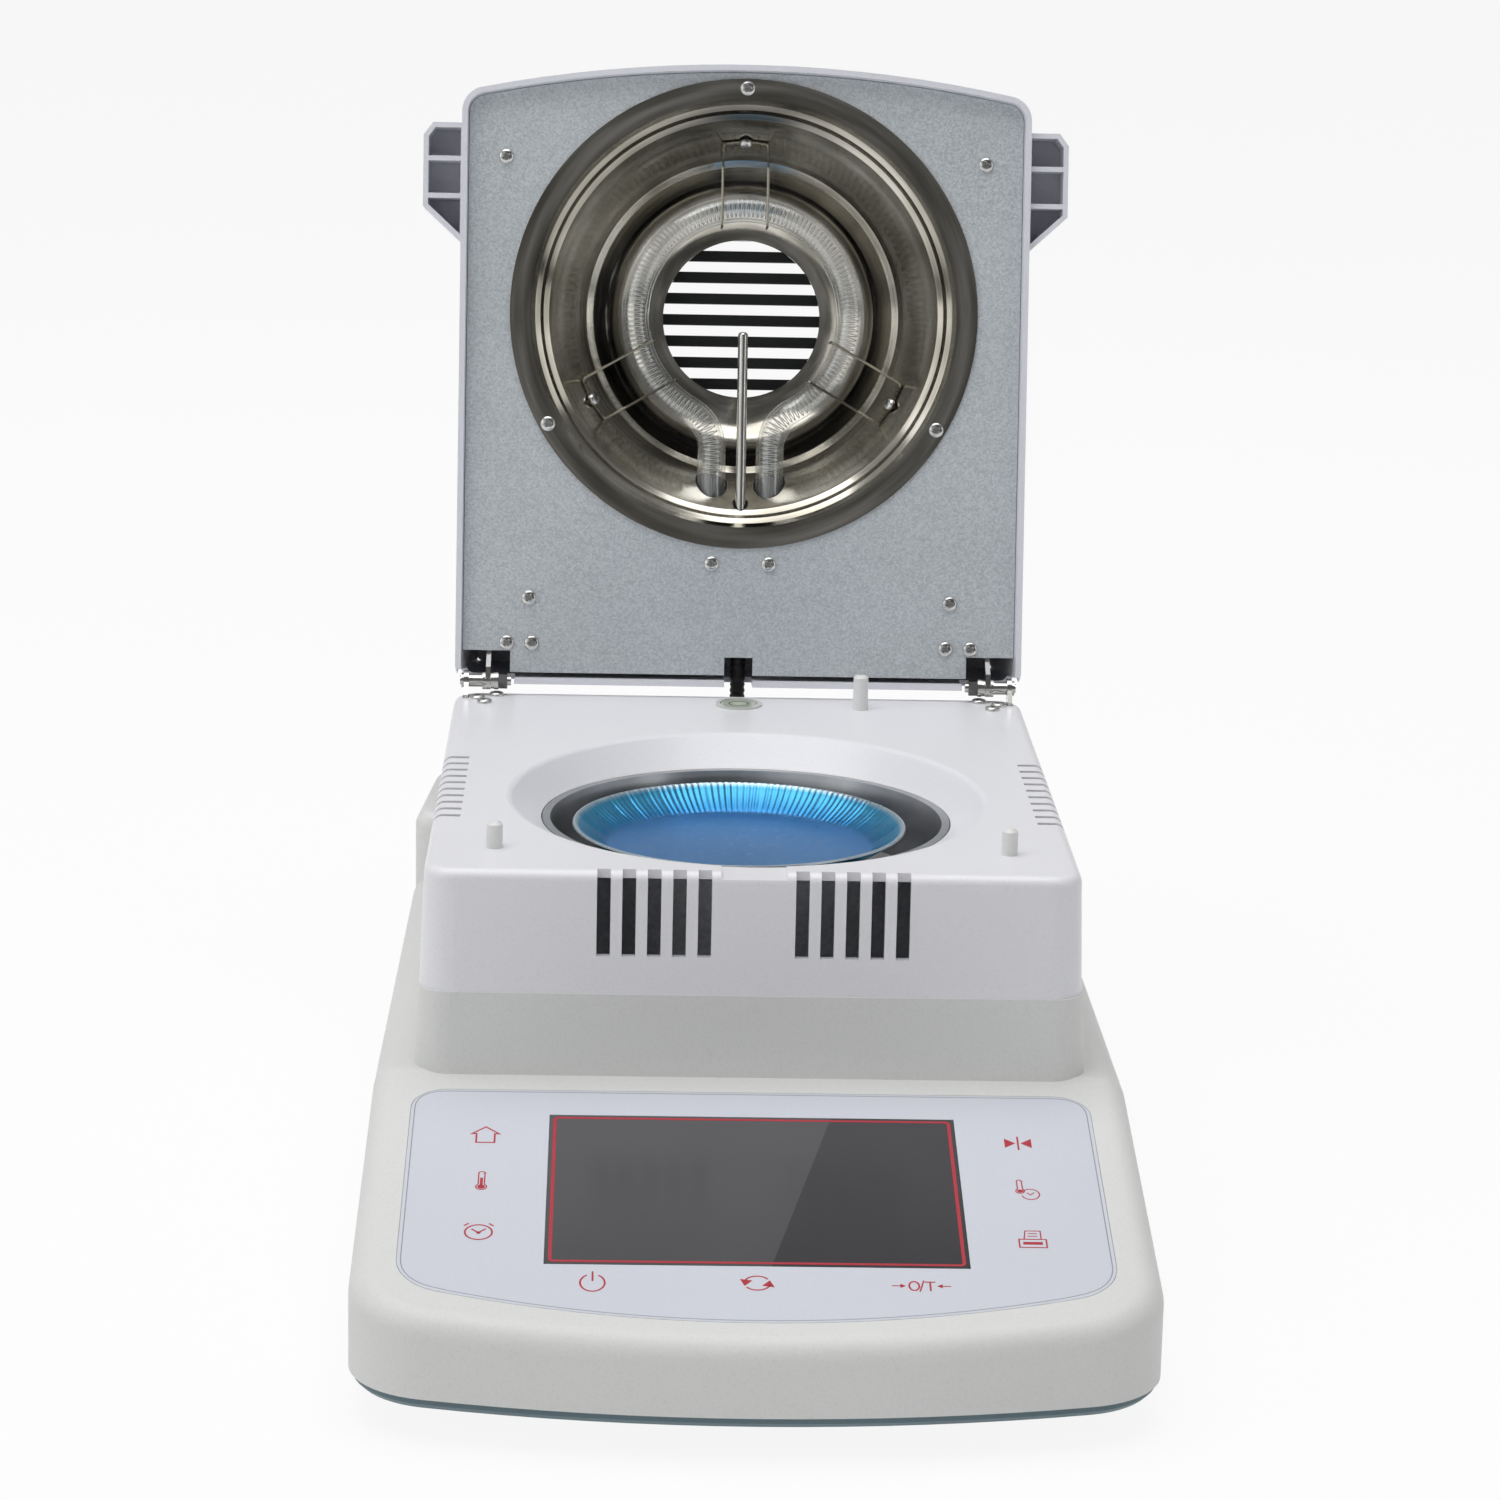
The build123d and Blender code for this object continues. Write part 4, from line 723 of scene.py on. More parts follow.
def crossCutter(headRadius, headHeight):
    half = headRadius * screwSettings["recessWidth"]
    length = headRadius * screwSettings["recessLength"]
    floor = headHeight * (1 - screwSettings["recessDepth"])
    mouth = headHeight + screwSettings["recessAbove"]
    outline = [
        (half, half), (half, length), (-half, length), (-half, half), (-length, half), (-length, -half),
        (-half, -half), (-half, -length), (half, -length), (half, -half), (length, -half), (length, half),
    ]
    points = []
    for scale, height in ((screwSettings["recessFloor"], floor), (screwSettings["recessMouth"], mouth)):
        points += [Vector((x * scale, y * scale, height)) * mm for x, y in outline]
    count = len(outline)
    faces = [tuple(range(count))[::-1], tuple(range(count, 2 * count))]
    faces += [(i, (i + 1) % count, count + (i + 1) % count, count + i) for i in range(count)]
    return placeObject("screwCutter", meshFrom("screwCutter", points, faces))


def screwMesh(head, shank):
    blank = screwBlank(*head, *shank)
    cutter = crossCutter(*head)
    cut = blank.modifiers.new("recess", "BOOLEAN")
    cut.object = cutter
    cut.operation = "DIFFERENCE"
    cut.solver = "EXACT"
    depsgraph = bpy.context.evaluated_depsgraph_get()
    finished = bpy.data.meshes.new_from_object(blank.evaluated_get(depsgraph))
    for helper in (blank, cutter):
        bpy.data.objects.remove(helper)
    return finished


# each place is a point under the head, the way that the head faces, and the turn of its cross
def screwSet(name, settings, places, body, replacedNode):
    single = screwMesh(settings["head"], settings["shank"])
    work = bmesh.new()
    for position, axis, turn in places:
        before = len(work.verts)
        work.from_mesh(single)
        work.verts.ensure_lookup_table()
        rotation = axis.to_track_quat("Z", "Y").to_matrix() @ Matrix.Rotation(turn, 3, "Z")
        for vert in list(work.verts)[before:]:
            vert.co = position + rotation @ vert.co
    mesh = bpy.data.meshes.new(name)
    work.to_mesh(mesh)
    work.free()
    makePiece(name, mesh, "screwNickel", body, [replacedNode])


def anyTurn(settings):
    return random.uniform(0, settings["turn"])


def bothSides(spots):
    return [(side * x, y) for x, y in spots for side in (-1, 1)]


def circleSpots(settings):
    angles = [math.radians(degrees) for degrees in settings["angles"]]
    centre, reach = lidSettings["lampCentre"], settings["circle"]
    return [(reach * math.cos(angle), centre + reach * math.sin(angle)) for angle in angles]


def lidPlaces(settings, spots):
    return [(lidPoint(x, up, settings["level"]), lidAxis, anyTurn(settings)) for x, up in spots]


def upright(settings, facing):
    return [
        (Vector((x, y, settings["level"])) * mm, Vector((0, 0, facing)), anyTurn(settings))
        for x, y in bothSides(settings["spots"])
    ]


# the clips' screws stand square on the sloping band of the reflector
def clipPlaces(settings):
    places = []
    for degrees in settings["angles"]:
        angle = math.radians(degrees)
        radial = Vector((math.cos(angle), 0, 0)) + lidUp * math.sin(angle)
        axis = (radial * settings["tilt"][0] + lidAxis * settings["tilt"][1]).normalized()
        seat = lidPoint(0, lidSettings["lampCentre"], settings["level"]) + radial * settings["circle"] * mm
        places.append((seat + axis * settings["lift"] * mm, axis, anyTurn(settings)))
    return places


platePlaces = lidPlaces(plateScrews, bothSides(plateScrews["spots"]))
flangePlaces = lidPlaces(flangeScrews, circleSpots(flangeScrews))
screwSet("plateScrews", plateScrews, platePlaces, "lid", "lid_screws")
screwSet("flangeScrews", flangeScrews, flangePlaces, "lid", "flange_screws")
screwSet("clipScrews", clipScrews, clipPlaces(clipScrews), "lid", "clip_screws")
screwSet("hingeScrews", hingeScrews, upright(hingeScrews, 1), "root", "hinge_screws")
screwSet("undersideScrews", undersideScrews, upright(undersideScrews, -1), "root", "base_screws")
print("screws made")


# Sample pan of thin pleated foil

panSettings = {
    "centre": (-2.0, 8.6), "sheet": 0.14, "pleats": 150, "perPleat": 5, "pleatDepth": 0.2,
    "pleatEven": (0.3, 1.7), "pleatSharp": 0.6,
    "wallLow": 40.2, "wallHigh": 48.2, "wallFade": 1.2, "fadePower": 4,
    "topPath": [
        (3.0, 101.75), (20.0, 101.72), (36.0, 101.78), (38.6, 101.9), (39.6, 102.2),
        (40.4, 102.7), (42.0, 103.6), (44.0, 104.8), (46.0, 106.2), (47.6, 107.6),
        (48.3, 108.5), (48.7, 108.85), (49.2, 109.05), (49.75, 108.9), (49.9, 108.5),
    ],
    "curlUnder": [(-0.12, -0.02), (-0.14, -0.16)], "underInset": 0.02, "underStart": 2.4,
}


# section of the sheet: along its top and back along its underside, with the rim curled under
def panSection():
    top = panSettings["topPath"]
    under = [
        (max(panSettings["underStart"], r - panSettings["underInset"]), z - panSettings["sheet"])
        for r, z in reversed(top)
    ]
    for index, (inward, down) in enumerate(panSettings["curlUnder"]):
        edge = top[-1 - index]
        under[index] = (edge[0] + inward, edge[1] + down)
    return top + under


def foilPan():
    section = panSection()
    pleats, low, high = panSettings["pleats"], panSettings["wallLow"], panSettings["wallHigh"]
    middle, span = (low + high) / 2, (high - low) / 2 + panSettings["wallFade"]
    strength = [random.uniform(*panSettings["pleatEven"]) for _ in range(pleats)]

    def pleat(angle, radius):
        part = angle / (2 * math.pi) * pleats
        fade = max(0.0, 1 - ((radius - middle) / span) ** panSettings["fadePower"])
        wave = math.cos(2 * math.pi * part)
        sharp = abs(wave) ** panSettings["pleatSharp"] * (1 if wave > 0 else -1)
        return panSettings["pleatDepth"] * sharp * fade * strength[int(part) % pleats]

    sides, count = pleats * panSettings["perPleat"], len(section)
    points, faces = closedLathe(section, sides, pleat)
    # the small hole in the middle of the floor is closed above and below with fans
    faces = [f for f in faces if {i % count for i in f} != {0, count - 1}]
    centreTop, centreUnder = len(points), len(points) + 1
    points += [Vector((0, 0, section[0][1])), Vector((0, 0, section[-1][1]))]
    for side in range(sides):
        here, ahead = side * count, (side + 1) % sides * count
        faces.append((centreTop, here, ahead))
        faces.append((centreUnder, ahead + count - 1, here + count - 1))
    shift = Vector((*panSettings["centre"], 0))
    mesh = meshFrom("foilPan", [(p + shift) * mm for p in points], faces)
    makePiece("foilPan", mesh, "blueFoil", "sample_pan", ["sample_pan"])


foilPan()
print("pan made")


# Ring lamp: quartz tube and coiled filament

lampSettings = {
    "ring": 35.3, "bend": 14.0, "leg": 9.5, "legEnd": 50.0,
    "tube": 4.6, "wall": 0.9, "sides": 28, "tubeStep": 1.6,
    "coil": 2.7, "pitch": 1.5, "wire": 0.2, "perTurn": 10,
    "plainLeg": 17.0, "swellLength": 3.0, "plainSkip": 12,
}


# points of the lamp's middle line, across and up from the ring's centre: leg, bend, ring, bend, leg
def lampLine(step):
    ring, bend, leg = lampSettings["ring"], lampSettings["bend"], lampSettings["leg"]
    bendY = -math.sqrt((ring + bend) ** 2 - (leg + bend) ** 2)
    arc = math.atan2(-bendY, leg + bend)
    lowY = lampSettings["legEnd"] - lidSettings["lampCentre"]

    def legUp(s):
        return -leg, lowY + s

    def bendIn(s):
        return -leg - bend + bend * math.cos(s / bend), bendY + bend * math.sin(s / bend)

    def ringRound(s):
        angle = arc - math.pi - s / ring
        return ring * math.cos(angle), ring * math.sin(angle)

    def bendOut(s):
        angle = math.pi - arc + s / bend
        return leg + bend + bend * math.cos(angle), bendY + bend * math.sin(angle)

    def legDown(s):
        return leg, bendY - s

    spans = [
        (bendY - lowY, legUp), (bend * arc, bendIn), (ring * (math.pi + 2 * arc), ringRound),
        (bend * arc, bendOut), (bendY - lowY, legDown),
    ]
    total = sum(length for length, _ in spans)
    count = int(total / step)
    line = []
    for index in range(count + 1):
        s = total * index / count
        for length, spot in spans:
            if s <= length or spot is legDown:
                break
            s -= length
        line.append(spot(s))
    return line


# each point of the line in space, and the direction square to the line in the ring's plane
def alongLamp(line):
    for index, (x, up) in enumerate(line):
        before, after = line[max(0, index - 1)], line[min(len(line) - 1, index + 1)]
        heading = Vector((after[0] - before[0], after[1] - before[1])).normalized()
        aside = Vector((heading.y, 0, 0)) + lidUp * -heading.x
        yield lidPoint(x, lidSettings["lampCentre"] + up, lidSettings["lampLevel"]), aside


def lampTube():
    sides, line = lampSettings["sides"], lampLine(lampSettings["tubeStep"])
    outer, inner = lampSettings["tube"] * mm, (lampSettings["tube"] - lampSettings["wall"]) * mm
    points, faces = [], []
    for middle, aside in alongLamp(line):
        for radius in (outer, inner):
            points += sectionAt(middle, aside, lidAxis, radius, sides)
    stride, last = 2 * sides, len(line) - 1
    for index in range(last):
        for wall in (0, sides):
            here, ahead = index * stride + wall, (index + 1) * stride + wall
            for side in range(sides):
                after = (side + 1) % sides
                faces.append((here + side, here + after, ahead + after, ahead + side))
    for end in (0, last * stride):
        for side in range(sides):
            after = (side + 1) % sides
            faces.append((end + side, end + after, end + sides + after, end + sides + side))
    mesh = meshFrom("quartzTube", points, faces)
    makePiece("quartzTube", mesh, "lampGlass", "lid", ["lamp_tube"])


def lampCoil():
    perTurn = lampSettings["perTurn"]
    step = lampSettings["pitch"] / perTurn
    line = lampLine(step)
    plain, swellSteps = int(lampSettings["plainLeg"] / step), lampSettings["swellLength"] / step
    points = []
    for index, (middle, aside) in enumerate(alongLamp(line)):
        fromEnd = min(index, len(line) - 1 - index)
        swell = min(1.0, max(0.0, (fromEnd - plain) / swellSteps))
        if swell == 0.0 and index % lampSettings["plainSkip"]:
            continue
        angle = 2 * math.pi * index / perTurn
        outward = aside * math.cos(angle) + lidAxis * math.sin(angle)
        points.append(middle + outward * lampSettings["coil"] * swell * mm)
    curve = bpy.data.curves.new("lampCoil", "CURVE")
    curve.dimensions = "3D"
    curve.bevel_depth = lampSettings["wire"] * mm
    curve.bevel_resolution = 1
    curve.use_fill_caps = True
    spline = curve.splines.new("POLY")
    spline.points.add(len(points) - 1)
    for spot, place in zip(spline.points, points):
        spot.co = (*place, 1)
    curve.materials.append(finishes["filamentWire"])
    piece = placeObject("lampCoil", curve)
    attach(piece, "lid")
    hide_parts("lamp_filament")


lampTube()
lampCoil()
print("lamp made")


# Spring of the lid switch, shortened by the plunger

springSettings = {
    "centre": (39.2, 115.6), "low": 95.25, "high": 102.75, "radius": 1.9, "wire": 0.22,
    "turns": 4, "perTurn": 20, "sides": 8,
}


def switchSpring():
    count, sides = springSettings["turns"] * springSettings["perTurn"], springSettings["sides"]
    low, rise = springSettings["low"], springSettings["high"] - springSettings["low"]
    points = []
    for index in range(count + 1):
        angle = 2 * math.pi * index / springSettings["perTurn"]
        outward = Vector((math.cos(angle), math.sin(angle), 0))
        axisPoint = Vector((*springSettings["centre"], low + rise * index / count))
        middle = axisPoint + outward * springSettings["radius"]
        ring = sectionAt(middle, outward, Vector((0, 0, 1)), springSettings["wire"], sides)
        points += [spot * mm for spot in ring]
    mesh = meshFrom("switchSpring", points, tubeFaces(count + 1, sides))
    piece = makePiece("switchSpring", mesh, "satinSteel", None, ["plunger_spring"])
    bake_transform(piece)


switchSpring()
print("switch spring made")


# Lead between lid and chamber, in a ribbed sleeve

leadSettings = {
    "radius": 2.45, "rib": 0.3, "grooveShare": -0.4, "pitch": 2.0, "sides": 20, "steps": 60,
    "route": [(0.0, 145.5, 155.5), (0.0, 139.7, 124.05), (0.0, 144.0, 102.3), (0.0, 144.0, 78.3)],
}


def leadPath():
    route = leadSettings["route"]
    curve = bpy.data.curves.new("leadRoute", "CURVE")
    curve.dimensions = "3D"
    spline = curve.splines.new("NURBS")
    spline.points.add(len(route) - 1)
    for spot, place in zip(spline.points, route):
        spot.co = (*[value * mm for value in place], 1)
    spline.order_u = 3
    spline.use_endpoint_u = True
    spline.resolution_u = leadSettings["steps"]
    holder = placeObject("leadRoute", curve)
    depsgraph = bpy.context.evaluated_depsgraph_get()
    line = bpy.data.meshes.new_from_object(holder.evaluated_get(depsgraph))
    path = [v.co.copy() for v in line.vertices]
    bpy.data.objects.remove(holder)
    return path


def ribbedLead():
    path, sides, rib = leadPath(), leadSettings["sides"], leadSettings["rib"]
    across = Vector((1, 0, 0))
    points, travelled = [], 0.0
    for index, middle in enumerate(path):
        before, after = path[max(0, index - 1)], path[min(len(path) - 1, index + 1)]
        travelled += (middle - before).length / mm
        other = (after - before).normalized().cross(across).normalized()
        onRidge = math.sin(2 * math.pi * travelled / leadSettings["pitch"]) > 0
        ridge = rib * (1 if onRidge else leadSettings["grooveShare"]) / 2
        points += sectionAt(middle, across, other, (leadSettings["radius"] - rib / 2 + ridge) * mm, sides)
    mesh = meshFrom("ribbedLead", points, tubeFaces(len(path), sides))
    piece = makePiece("ribbedLead", mesh, "sleeveRubber", None, ["lid_lead"])
    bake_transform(piece)


ribbedLead()
print("lead made")


# Printed signs and lines on the control panel, drawn in the panel's plane as thin raised ink

# quads along a path, mitred where it turns
def stroke(path, width=0.5, closed=False):
    count = len(path)
    left, right = [], []
    for index, point in enumerate(path):
        here = Vector(point)
        ahead = Vector(path[(index + 1) % count]) - here if closed or index < count - 1 else None
        back = here - Vector(path[index - 1]) if closed or index > 0 else None
        ahead = ahead or back
        back = back or ahead
        first, second = Vector((-back.y, back.x)).normalized(), Vector((-ahead.y, ahead.x)).normalized()
        bisector = (first + second).normalized() if (first + second).length > 1e-6 else first
        reach = width / 2 / max(0.35, bisector.dot(first))
        left.append(here + bisector * reach)
        right.append(here - bisector * reach)
    quads = []
    for index in range(count if closed else count - 1):
        after = (index + 1) % count
        quads.append([left[index], left[after], right[after], right[index]])
    return quads


def solid(points):
    return [[Vector(p) for p in points]]


# part of an ellipse, from one angle to another in degrees
def arcPath(x, y, radiusX, radiusY, start, end, steps):
    angles = [math.radians(start + (end - start) * i / steps) for i in range(steps + 1)]
    return [(x + radiusX * math.cos(angle), y + radiusY * math.sin(angle)) for angle in angles]


def circle(x, y, radius):
    return stroke(arcPath(x, y, radius, radius, 0, 360, 28)[:-1], closed=True)


def disc(x, y, radius):
    return solid(arcPath(x, y, radius, radius, 0, 360, 20)[:-1])


def printMesh(name, shapes, low, high):
    work = bmesh.new()
    for outline in shapes:
        area = sum(a[0] * b[1] - b[0] * a[1] for a, b in zip(outline, outline[1:] + outline[:1]))
        ordered = outline if area > 0 else outline[::-1]
        upper = [work.verts.new(panelPoint(p[0], p[1], high)) for p in ordered]
        lower = [work.verts.new(panelPoint(p[0], p[1], low)) for p in ordered]
        work.faces.new(upper)
        work.faces.new(lower[::-1])
        for index in range(len(ordered)):
            after = (index + 1) % len(ordered)
            work.faces.new((lower[index], lower[after], upper[after], upper[index]))
    bmesh.ops.remove_doubles(work, verts=work.verts, dist=1e-7)
    mesh = bpy.data.meshes.new(name)
    work.to_mesh(mesh)
    work.free()
    return mesh


printSettings = {"low": -0.06, "high": 0.035}

# each sign is drawn about its own middle, in millimetres, and set at its place on the panel
signSettings = {
    "home": {"at": (-73.0, -35.2), "shapes": stroke(
        [(-3.7, 0.5), (0, 4.1), (3.7, 0.5), (2.5, 0.5), (2.5, -4.1), (-2.5, -4.1), (-2.5, 0.5)], closed=True,
    )},
    "thermometer": {"at": (-73.3, -59.2), "shapes": (
        stroke(
            arcPath(0, -3.0, 1.45, 1.45, 125, 415, 26) + [(0.83, 3.9)]
            + arcPath(0, 3.9, 0.83, 0.83, 0, 180, 10) + [(-0.83, -1.8)], 0.36,
        )
        + disc(0, -3.0, 1.05)
        + solid([(-0.4, -2.6), (0.4, -2.6), (0.4, 1.6), (-0.4, 1.6)])
    )},
    "alarmClock": {"at": (-73.2, -84.9), "shapes": (
        circle(0, 0, 3.6)
        + stroke([(-3.9, 3.1), (-2.7, 4.3)])
        + stroke([(2.7, 4.3), (3.9, 3.1)])
        + stroke([(-1.9, 1.5), (0, -0.2), (1.9, 1.7)])
        + disc(0, -0.2, 0.6)
    )},
    "power": {"at": (-42.9, -108.2), "shapes": (
        stroke(arcPath(0, -0.4, 3.2, 4.0, 118, 422, 34))
        + stroke([(0, 5.0), (0, 0.4)])
    )},
    "meetingArrows": {"at": (72.7, -36.3), "shapes": (
        solid([(-3.7, 2.4), (-3.7, -2.4), (-0.7, 0)])
        + solid([(3.7, 2.4), (0.7, 0), (3.7, -2.4)])
        + stroke([(0, 3.5), (0, -3.5)])
    )},
    "thermometerAndClock": {"at": (73.1, -60.5), "shapes": (
        stroke(
            arcPath(-1.6, -0.6, 1.15, 1.15, 130, 410, 20) + [(-0.95, 4.4)]
            + arcPath(-1.6, 4.4, 0.65, 0.65, 0, 180, 8) + [(-2.25, 0.3)], 0.34,
        )
        + disc(-1.6, -0.6, 0.8)
        + stroke(arcPath(1.1, -2.2, 2.4, 2.6, 150, -165, 26), 0.36)
        + stroke([(0.1, -1.4), (1.1, -2.5), (2.1, -1.3)], 0.34)
    )},
    "printer": {"at": (73.0, -85.3), "shapes": (
        stroke([(-2.2, 0.3), (-1.7, 4.2), (2.3, 4.2), (2.3, 0.3)], 0.36)
        + stroke([(-1.1, 2.9), (1.4, 2.9)], 0.34)
        + stroke([(-1.2, 1.6), (1.4, 1.6)], 0.34)
        + stroke([(-3.6, -3.9), (-3.6, 0.1), (3.6, 0.1), (3.6, -3.9)], 0.42, True)
        + solid([(-2.6, -1.2), (2.6, -1.2), (2.6, -2.5), (-2.6, -2.5)])
    )},
    "cycle": {"at": (-0.2, -107.9), "shapes": (
        stroke(arcPath(0, 0, 3.4, 3.3, 35, 172, 18))
        + stroke(arcPath(0, 0, 3.4, 3.3, 215, 352, 18))
        + solid([(-4.5, 1.9), (-3.3, -1.4), (-1.2, 1.2)])
        + solid([(4.5, -1.9), (3.3, 1.4), (1.2, -1.2)])
    )},
    "zero": {"at": (42.4, -108.4), "shapes": (
        stroke([(-7.7, 0), (-4.9, 0)], 0.4)
        + solid([(-4.0, 0), (-5.5, 0.95), (-5.5, -0.95)])
        + stroke([(7.7, 0), (4.9, 0)], 0.4)
        + solid([(4.0, 0), (5.5, 0.95), (5.5, -0.95)])
        + stroke(arcPath(-1.9, 0, 1.3, 2.1, 0, 360, 24)[:-1], closed=True)
        + stroke([(-0.5, -2.6), (0.7, 2.6)], 0.42)
        + stroke([(0.9, 1.9), (3.7, 1.9)])
        + stroke([(2.3, 1.9), (2.3, -2.3)])
    )},
}


def keySymbols():
    shapes = []
    for sign in signSettings.values():
        place = Vector(sign["at"])
        shapes += [[point + place for point in shape] for shape in sign["shapes"]]
    mesh = printMesh("keySymbols", shapes, printSettings["low"], printSettings["high"])
    makePiece("keySymbols", mesh, "redInk", "root", (), False)


# a closed path with its corners rounded, each with the same number of points
def roundedPath(corners, radius, steps=6):
    path, count = [], len(corners)
    for index in range(count):
        here = Vector(corners[index])
        before, after = Vector(corners[index - 1]), Vector(corners[(index + 1) % count])
        toBefore, toAfter = (before - here).normalized(), (after - here).normalized()
        reach = radius / math.tan(toBefore.angle(toAfter) / 2)
        start, end = here + toBefore * reach, here + toAfter * reach
        for step in range(steps + 1):
            t = step / steps
            path.append(tuple(start.lerp(here, t).lerp(here.lerp(end, t), t)))
    return path


windowSettings = {"halfWidth": 54.2, "top": -25.7, "low": -98.3, "corner": 1.2, "stroke": 0.95}


def windowBorder():
    half, top, low = windowSettings["halfWidth"], windowSettings["top"], windowSettings["low"]
    border = roundedPath([(-half, low), (half, low), (half, top), (-half, top)], windowSettings["corner"])
    shapes = stroke(border, windowSettings["stroke"], True)
    mesh = printMesh("windowBorder", shapes, printSettings["low"], printSettings["high"])
    makePiece("windowBorder", mesh, "redInk", "root", (), False)


sheetSettings = {
    "inset": 1.0, "sideInset": 0.9, "halfWidth": 94.0, "top": -11.0, "side": -109.5, "low": -126.4,
    "topCorner": 9.2, "lowCorner": 15.2, "cornerSteps": 8, "bowSteps": 28, "bowClear": 0.5,
    "stroke": 0.28, "printLow": -0.05, "printHigh": 0.02,
}


# outline of the sheet a little inside its edge: straight top and sides, and a bowed front
def sheetOutline():
    inset, steps = sheetSettings["inset"], sheetSettings["cornerSteps"]
    half, top = sheetSettings["halfWidth"] - inset, sheetSettings["top"] - inset
    side, low = sheetSettings["side"] + sheetSettings["sideInset"], sheetSettings["low"] + inset
    sag = side - low
    radius = (half * half + sag * sag) / (2 * sag)
    reach = math.asin(half / radius)
    halfSteps = sheetSettings["bowSteps"] // 2
    angles = [reach * (i / halfSteps - 1) for i in range(sheetSettings["bowSteps"] + 1)]
    bow = [(radius * math.sin(angle), low + radius - radius * math.cos(angle)) for angle in angles]
    perCorner, lowCorner = steps + 1, sheetSettings["lowCorner"]
    topPath = [(half, side), (half, top), (-half, top), (-half, side)]
    upper = roundedPath(topPath, sheetSettings["topCorner"], steps)
    left = roundedPath([(-half, top), bow[0], bow[3]], lowCorner, steps)[perCorner:2 * perCorner]
    right = roundedPath([bow[-4], bow[-1], (half, top)], lowCorner, steps)[perCorner:2 * perCorner]
    clear = sheetSettings["bowClear"]
    middle = [p for p in bow if left[-1][0] + clear < p[0] < right[0][0] - clear]
    return upper[perCorner:3 * perCorner] + left + middle + right


def sheetLine():
    shapes = stroke(sheetOutline(), sheetSettings["stroke"], True)
    mesh = printMesh("sheetLine", shapes, sheetSettings["printLow"], sheetSettings["printHigh"])
    makePiece("sheetLine", mesh, "greyInk", "root", (), False)


keySymbols()
windowBorder()
sheetLine()
print("prints made")


# Camera, floor, world and lamps

cameraSettings = {
    "place": (-0.03677, -1.27530, 0.44434), "heading": (0.02840122, 0.97116406, -0.23671446), "roll": 0.022,
    "lens": 106.33, "sensor": 36.0, "clipStart": 0.05,
}
floorSettings = {"half": 6.0, "showWhite": 0.9}
worldSettings = {
    "strength": 0.45, "shownStrength": 1.0,
    "frontSpan": (-0.75, 0.1), "leftSpan": (-0.5, 0.5), "heightSpan": (-0.1, 0.9),
    "front": [(0.0, white), (0.45, (0.42, 0.42, 0.43, 1)), (1.0, grey(0.18))],
    "overhead": [(0.0, grey(0.75)), (0.35, white), (0.55, (0.55, 0.55, 0.56, 1)), (1.0, white)],
}
softboxSettings = {
    "softboxAbove": {"place": (-0.2, -0.1, 2.0), "target": (0, 0, 0.1), "size": (1.8, 1.8), "power": 28.0},
    "softboxLeft": {"place": (-1.9, -1.0, 1.1), "target": (0, 0, 0.2), "size": (1.0, 1.4), "power": 6.0},
    "softboxRight": {"place": (1.9, -1.2, 0.9), "target": (0, 0, 0.2), "size": (0.5, 1.2), "power": 3.5},
    "softboxFront": {"place": (-1.3, -2.2, 1.0), "target": (0, 0, 0.12), "size": (1.4, 1.0), "power": 2.5},
}


def photoCamera():
    heading = Vector(cameraSettings["heading"]).normalized()
    level = heading.cross(Vector((0, 0, 1))).normalized()
    plumb = level.cross(heading)
    roll = cameraSettings["roll"]
    right = level * math.cos(roll) + plumb * math.sin(roll)
    up = plumb * math.cos(roll) - level * math.sin(roll)
    data = bpy.data.cameras.new("camera")
    data.lens = cameraSettings["lens"]
    data.sensor_width = cameraSettings["sensor"]
    data.clip_start = cameraSettings["clipStart"]
    camera = placeObject("camera", data)
    rows = zip(right, up, -heading, cameraSettings["place"])
    camera.matrix_world = Matrix([*rows, (0, 0, 0, 1)])
    bpy.context.scene.camera = camera


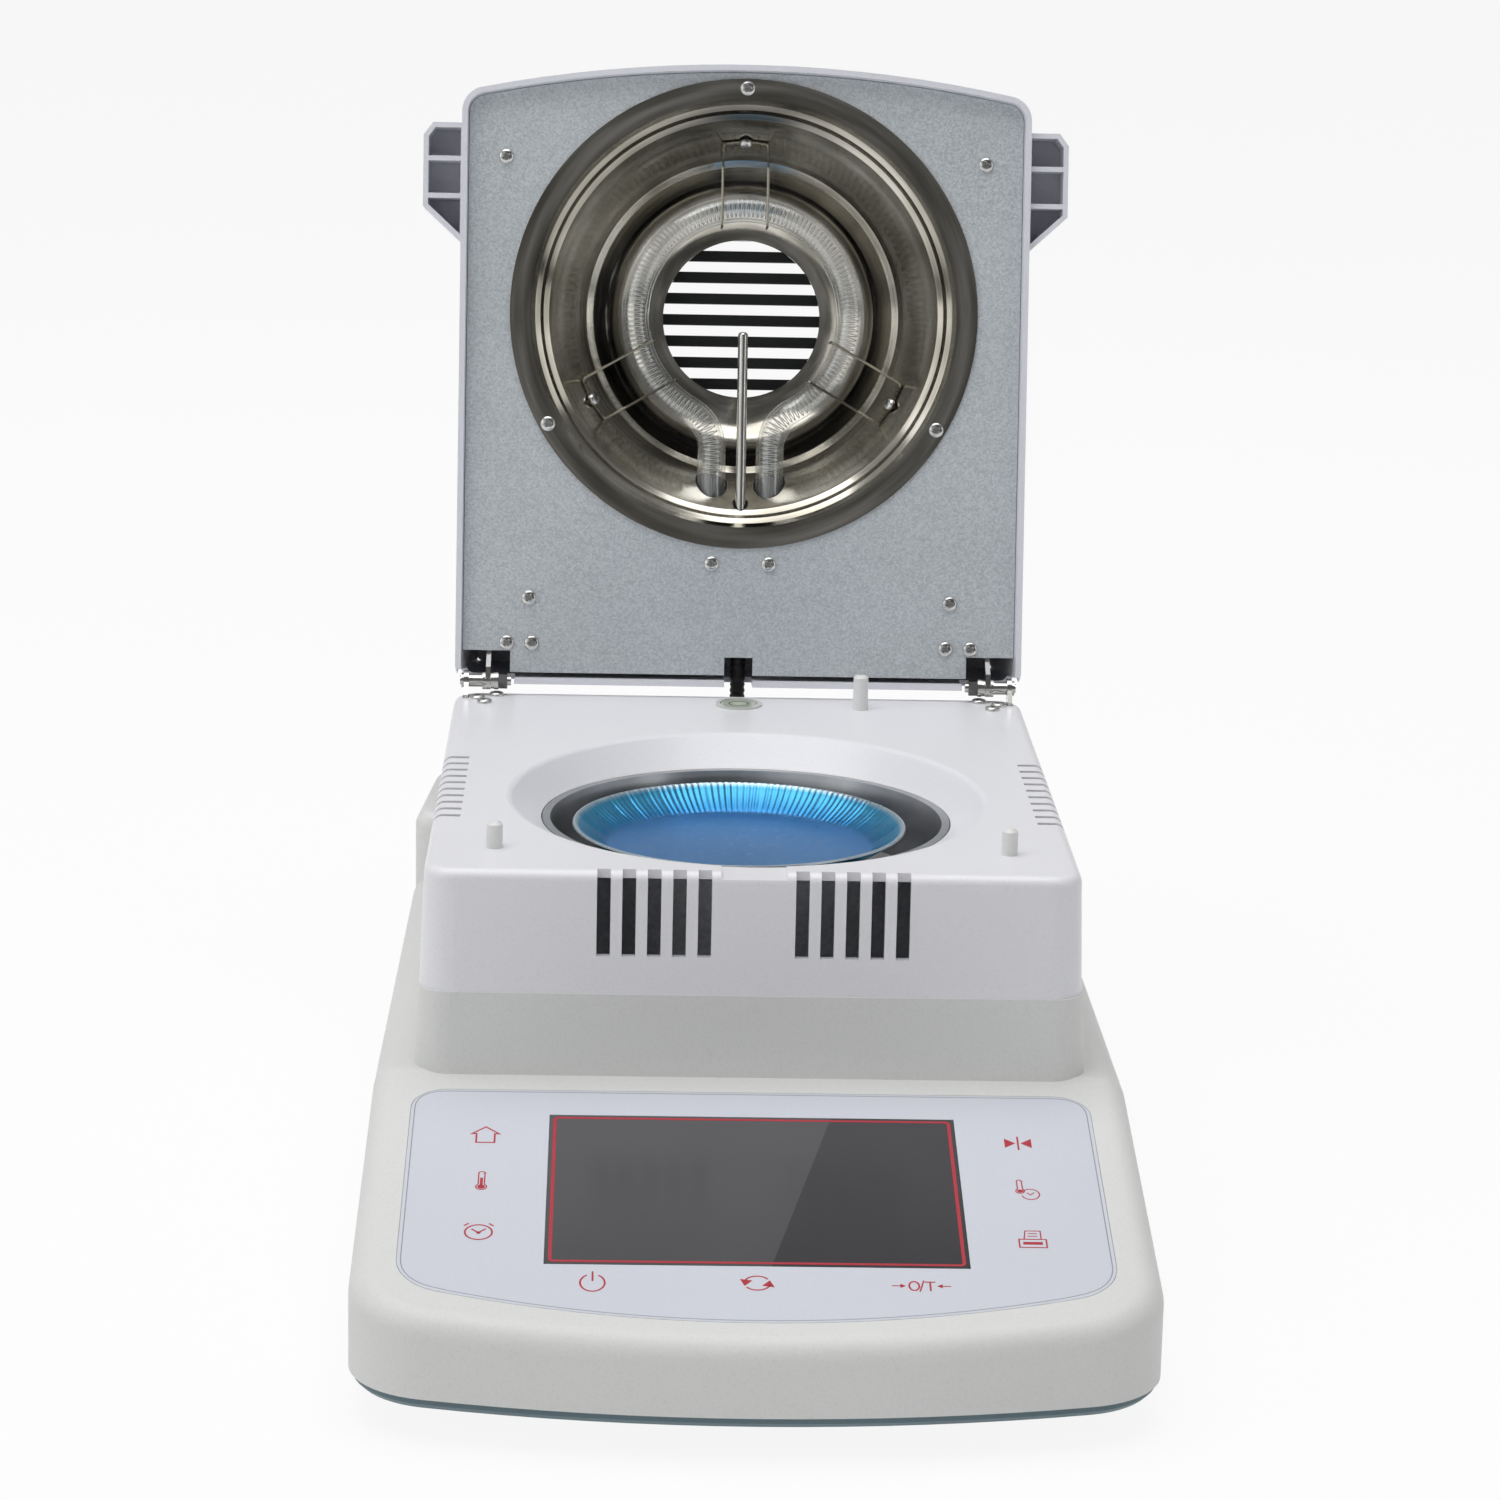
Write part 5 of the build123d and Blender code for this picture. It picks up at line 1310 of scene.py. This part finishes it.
def studioFloor():
    half = floorSettings["half"]
    corners = [(-half, -half, 0), (half, -half, 0), (half, half, 0), (-half, half, 0)]
    floor = placeObject("floor", meshFrom("floor", corners, [(0, 1, 2, 3)]))
    material, tree = newTree("floorPaper")
    paper = ramp(tree, noise(tree, objectCoords(tree), scale=3.0), [(0.3, grey(0.86)), (0.7, grey(0.88))])
    diffuse = node(tree, "ShaderNodeBsdfDiffuse", {"Color": paper})
    glow = node(tree, "ShaderNodeEmission", {"Color": white, "Strength": 1.0})
    rays = node(tree, "ShaderNodeLightPath").outputs
    mirrored = calc(tree, "MAXIMUM", rays["Is Glossy Ray"], rays["Is Transmission Ray"])
    seen = calc(tree, "MAXIMUM", rays["Is Camera Ray"], mirrored)
    share = times(tree, seen, floorSettings["showWhite"])
    mixed = node(tree, "ShaderNodeMixShader", {0: share, 1: diffuse.outputs[0], 2: glow.outputs[0]})
    output = node(tree, "ShaderNodeOutputMaterial")
    tree.links.new(mixed.outputs[0], output.inputs["Surface"])
    floor.data.materials.append(material)


# a room that metal and paint reflect, behind a plain white that the camera sees
def studioWorld():
    world = bpy.data.worlds.new("studio")
    bpy.context.scene.world = world
    world.use_nodes = True
    tree = world.node_tree
    tree.nodes.clear()
    direction = node(tree, "ShaderNodeTexCoord").outputs["Generated"]
    x, y, z = node(tree, "ShaderNodeSeparateXYZ", {"Vector": direction}).outputs
    frontSide = mapRange(tree, y, worldSettings["frontSpan"], (0.0, 1.0))
    leftSide = mapRange(tree, x, worldSettings["leftSpan"], (0.0, 1.0))
    height = mapRange(tree, z, worldSettings["heightSpan"], (0.0, 1.0))
    front = ramp(tree, leftSide, worldSettings["front"])
    overhead = ramp(tree, height, worldSettings["overhead"])
    room = masked(tree, mixColour(tree, frontSide, front, white), overhead)
    rays = node(tree, "ShaderNodeLightPath").outputs
    seen = calc(tree, "MAXIMUM", rays["Is Camera Ray"], rays["Is Transmission Ray"])
    colour = mixColour(tree, seen, room, white)
    strength = mapRange(tree, seen, (0.0, 1.0), (worldSettings["strength"], worldSettings["shownStrength"]))
    background = node(tree, "ShaderNodeBackground", {"Color": colour, "Strength": strength})
    output = node(tree, "ShaderNodeOutputWorld")
    tree.links.new(background.outputs[0], output.inputs["Surface"])


def softbox(name, settings):
    light = bpy.data.lights.new(name, "AREA")
    light.shape = "RECTANGLE"
    light.size, light.size_y = settings["size"]
    light.energy = settings["power"]
    lamp = placeObject(name, light)
    lamp.location = settings["place"]
    aim = Vector(settings["target"]) - Vector(settings["place"])
    lamp.rotation_euler = aim.to_track_quat("-Z", "Y").to_euler()


photoCamera()
bpy.context.scene.view_settings.view_transform = "Standard"
studioFloor()
studioWorld()
for name, settings in softboxSettings.items():
    softbox(name, settings)
print("camera and light set")
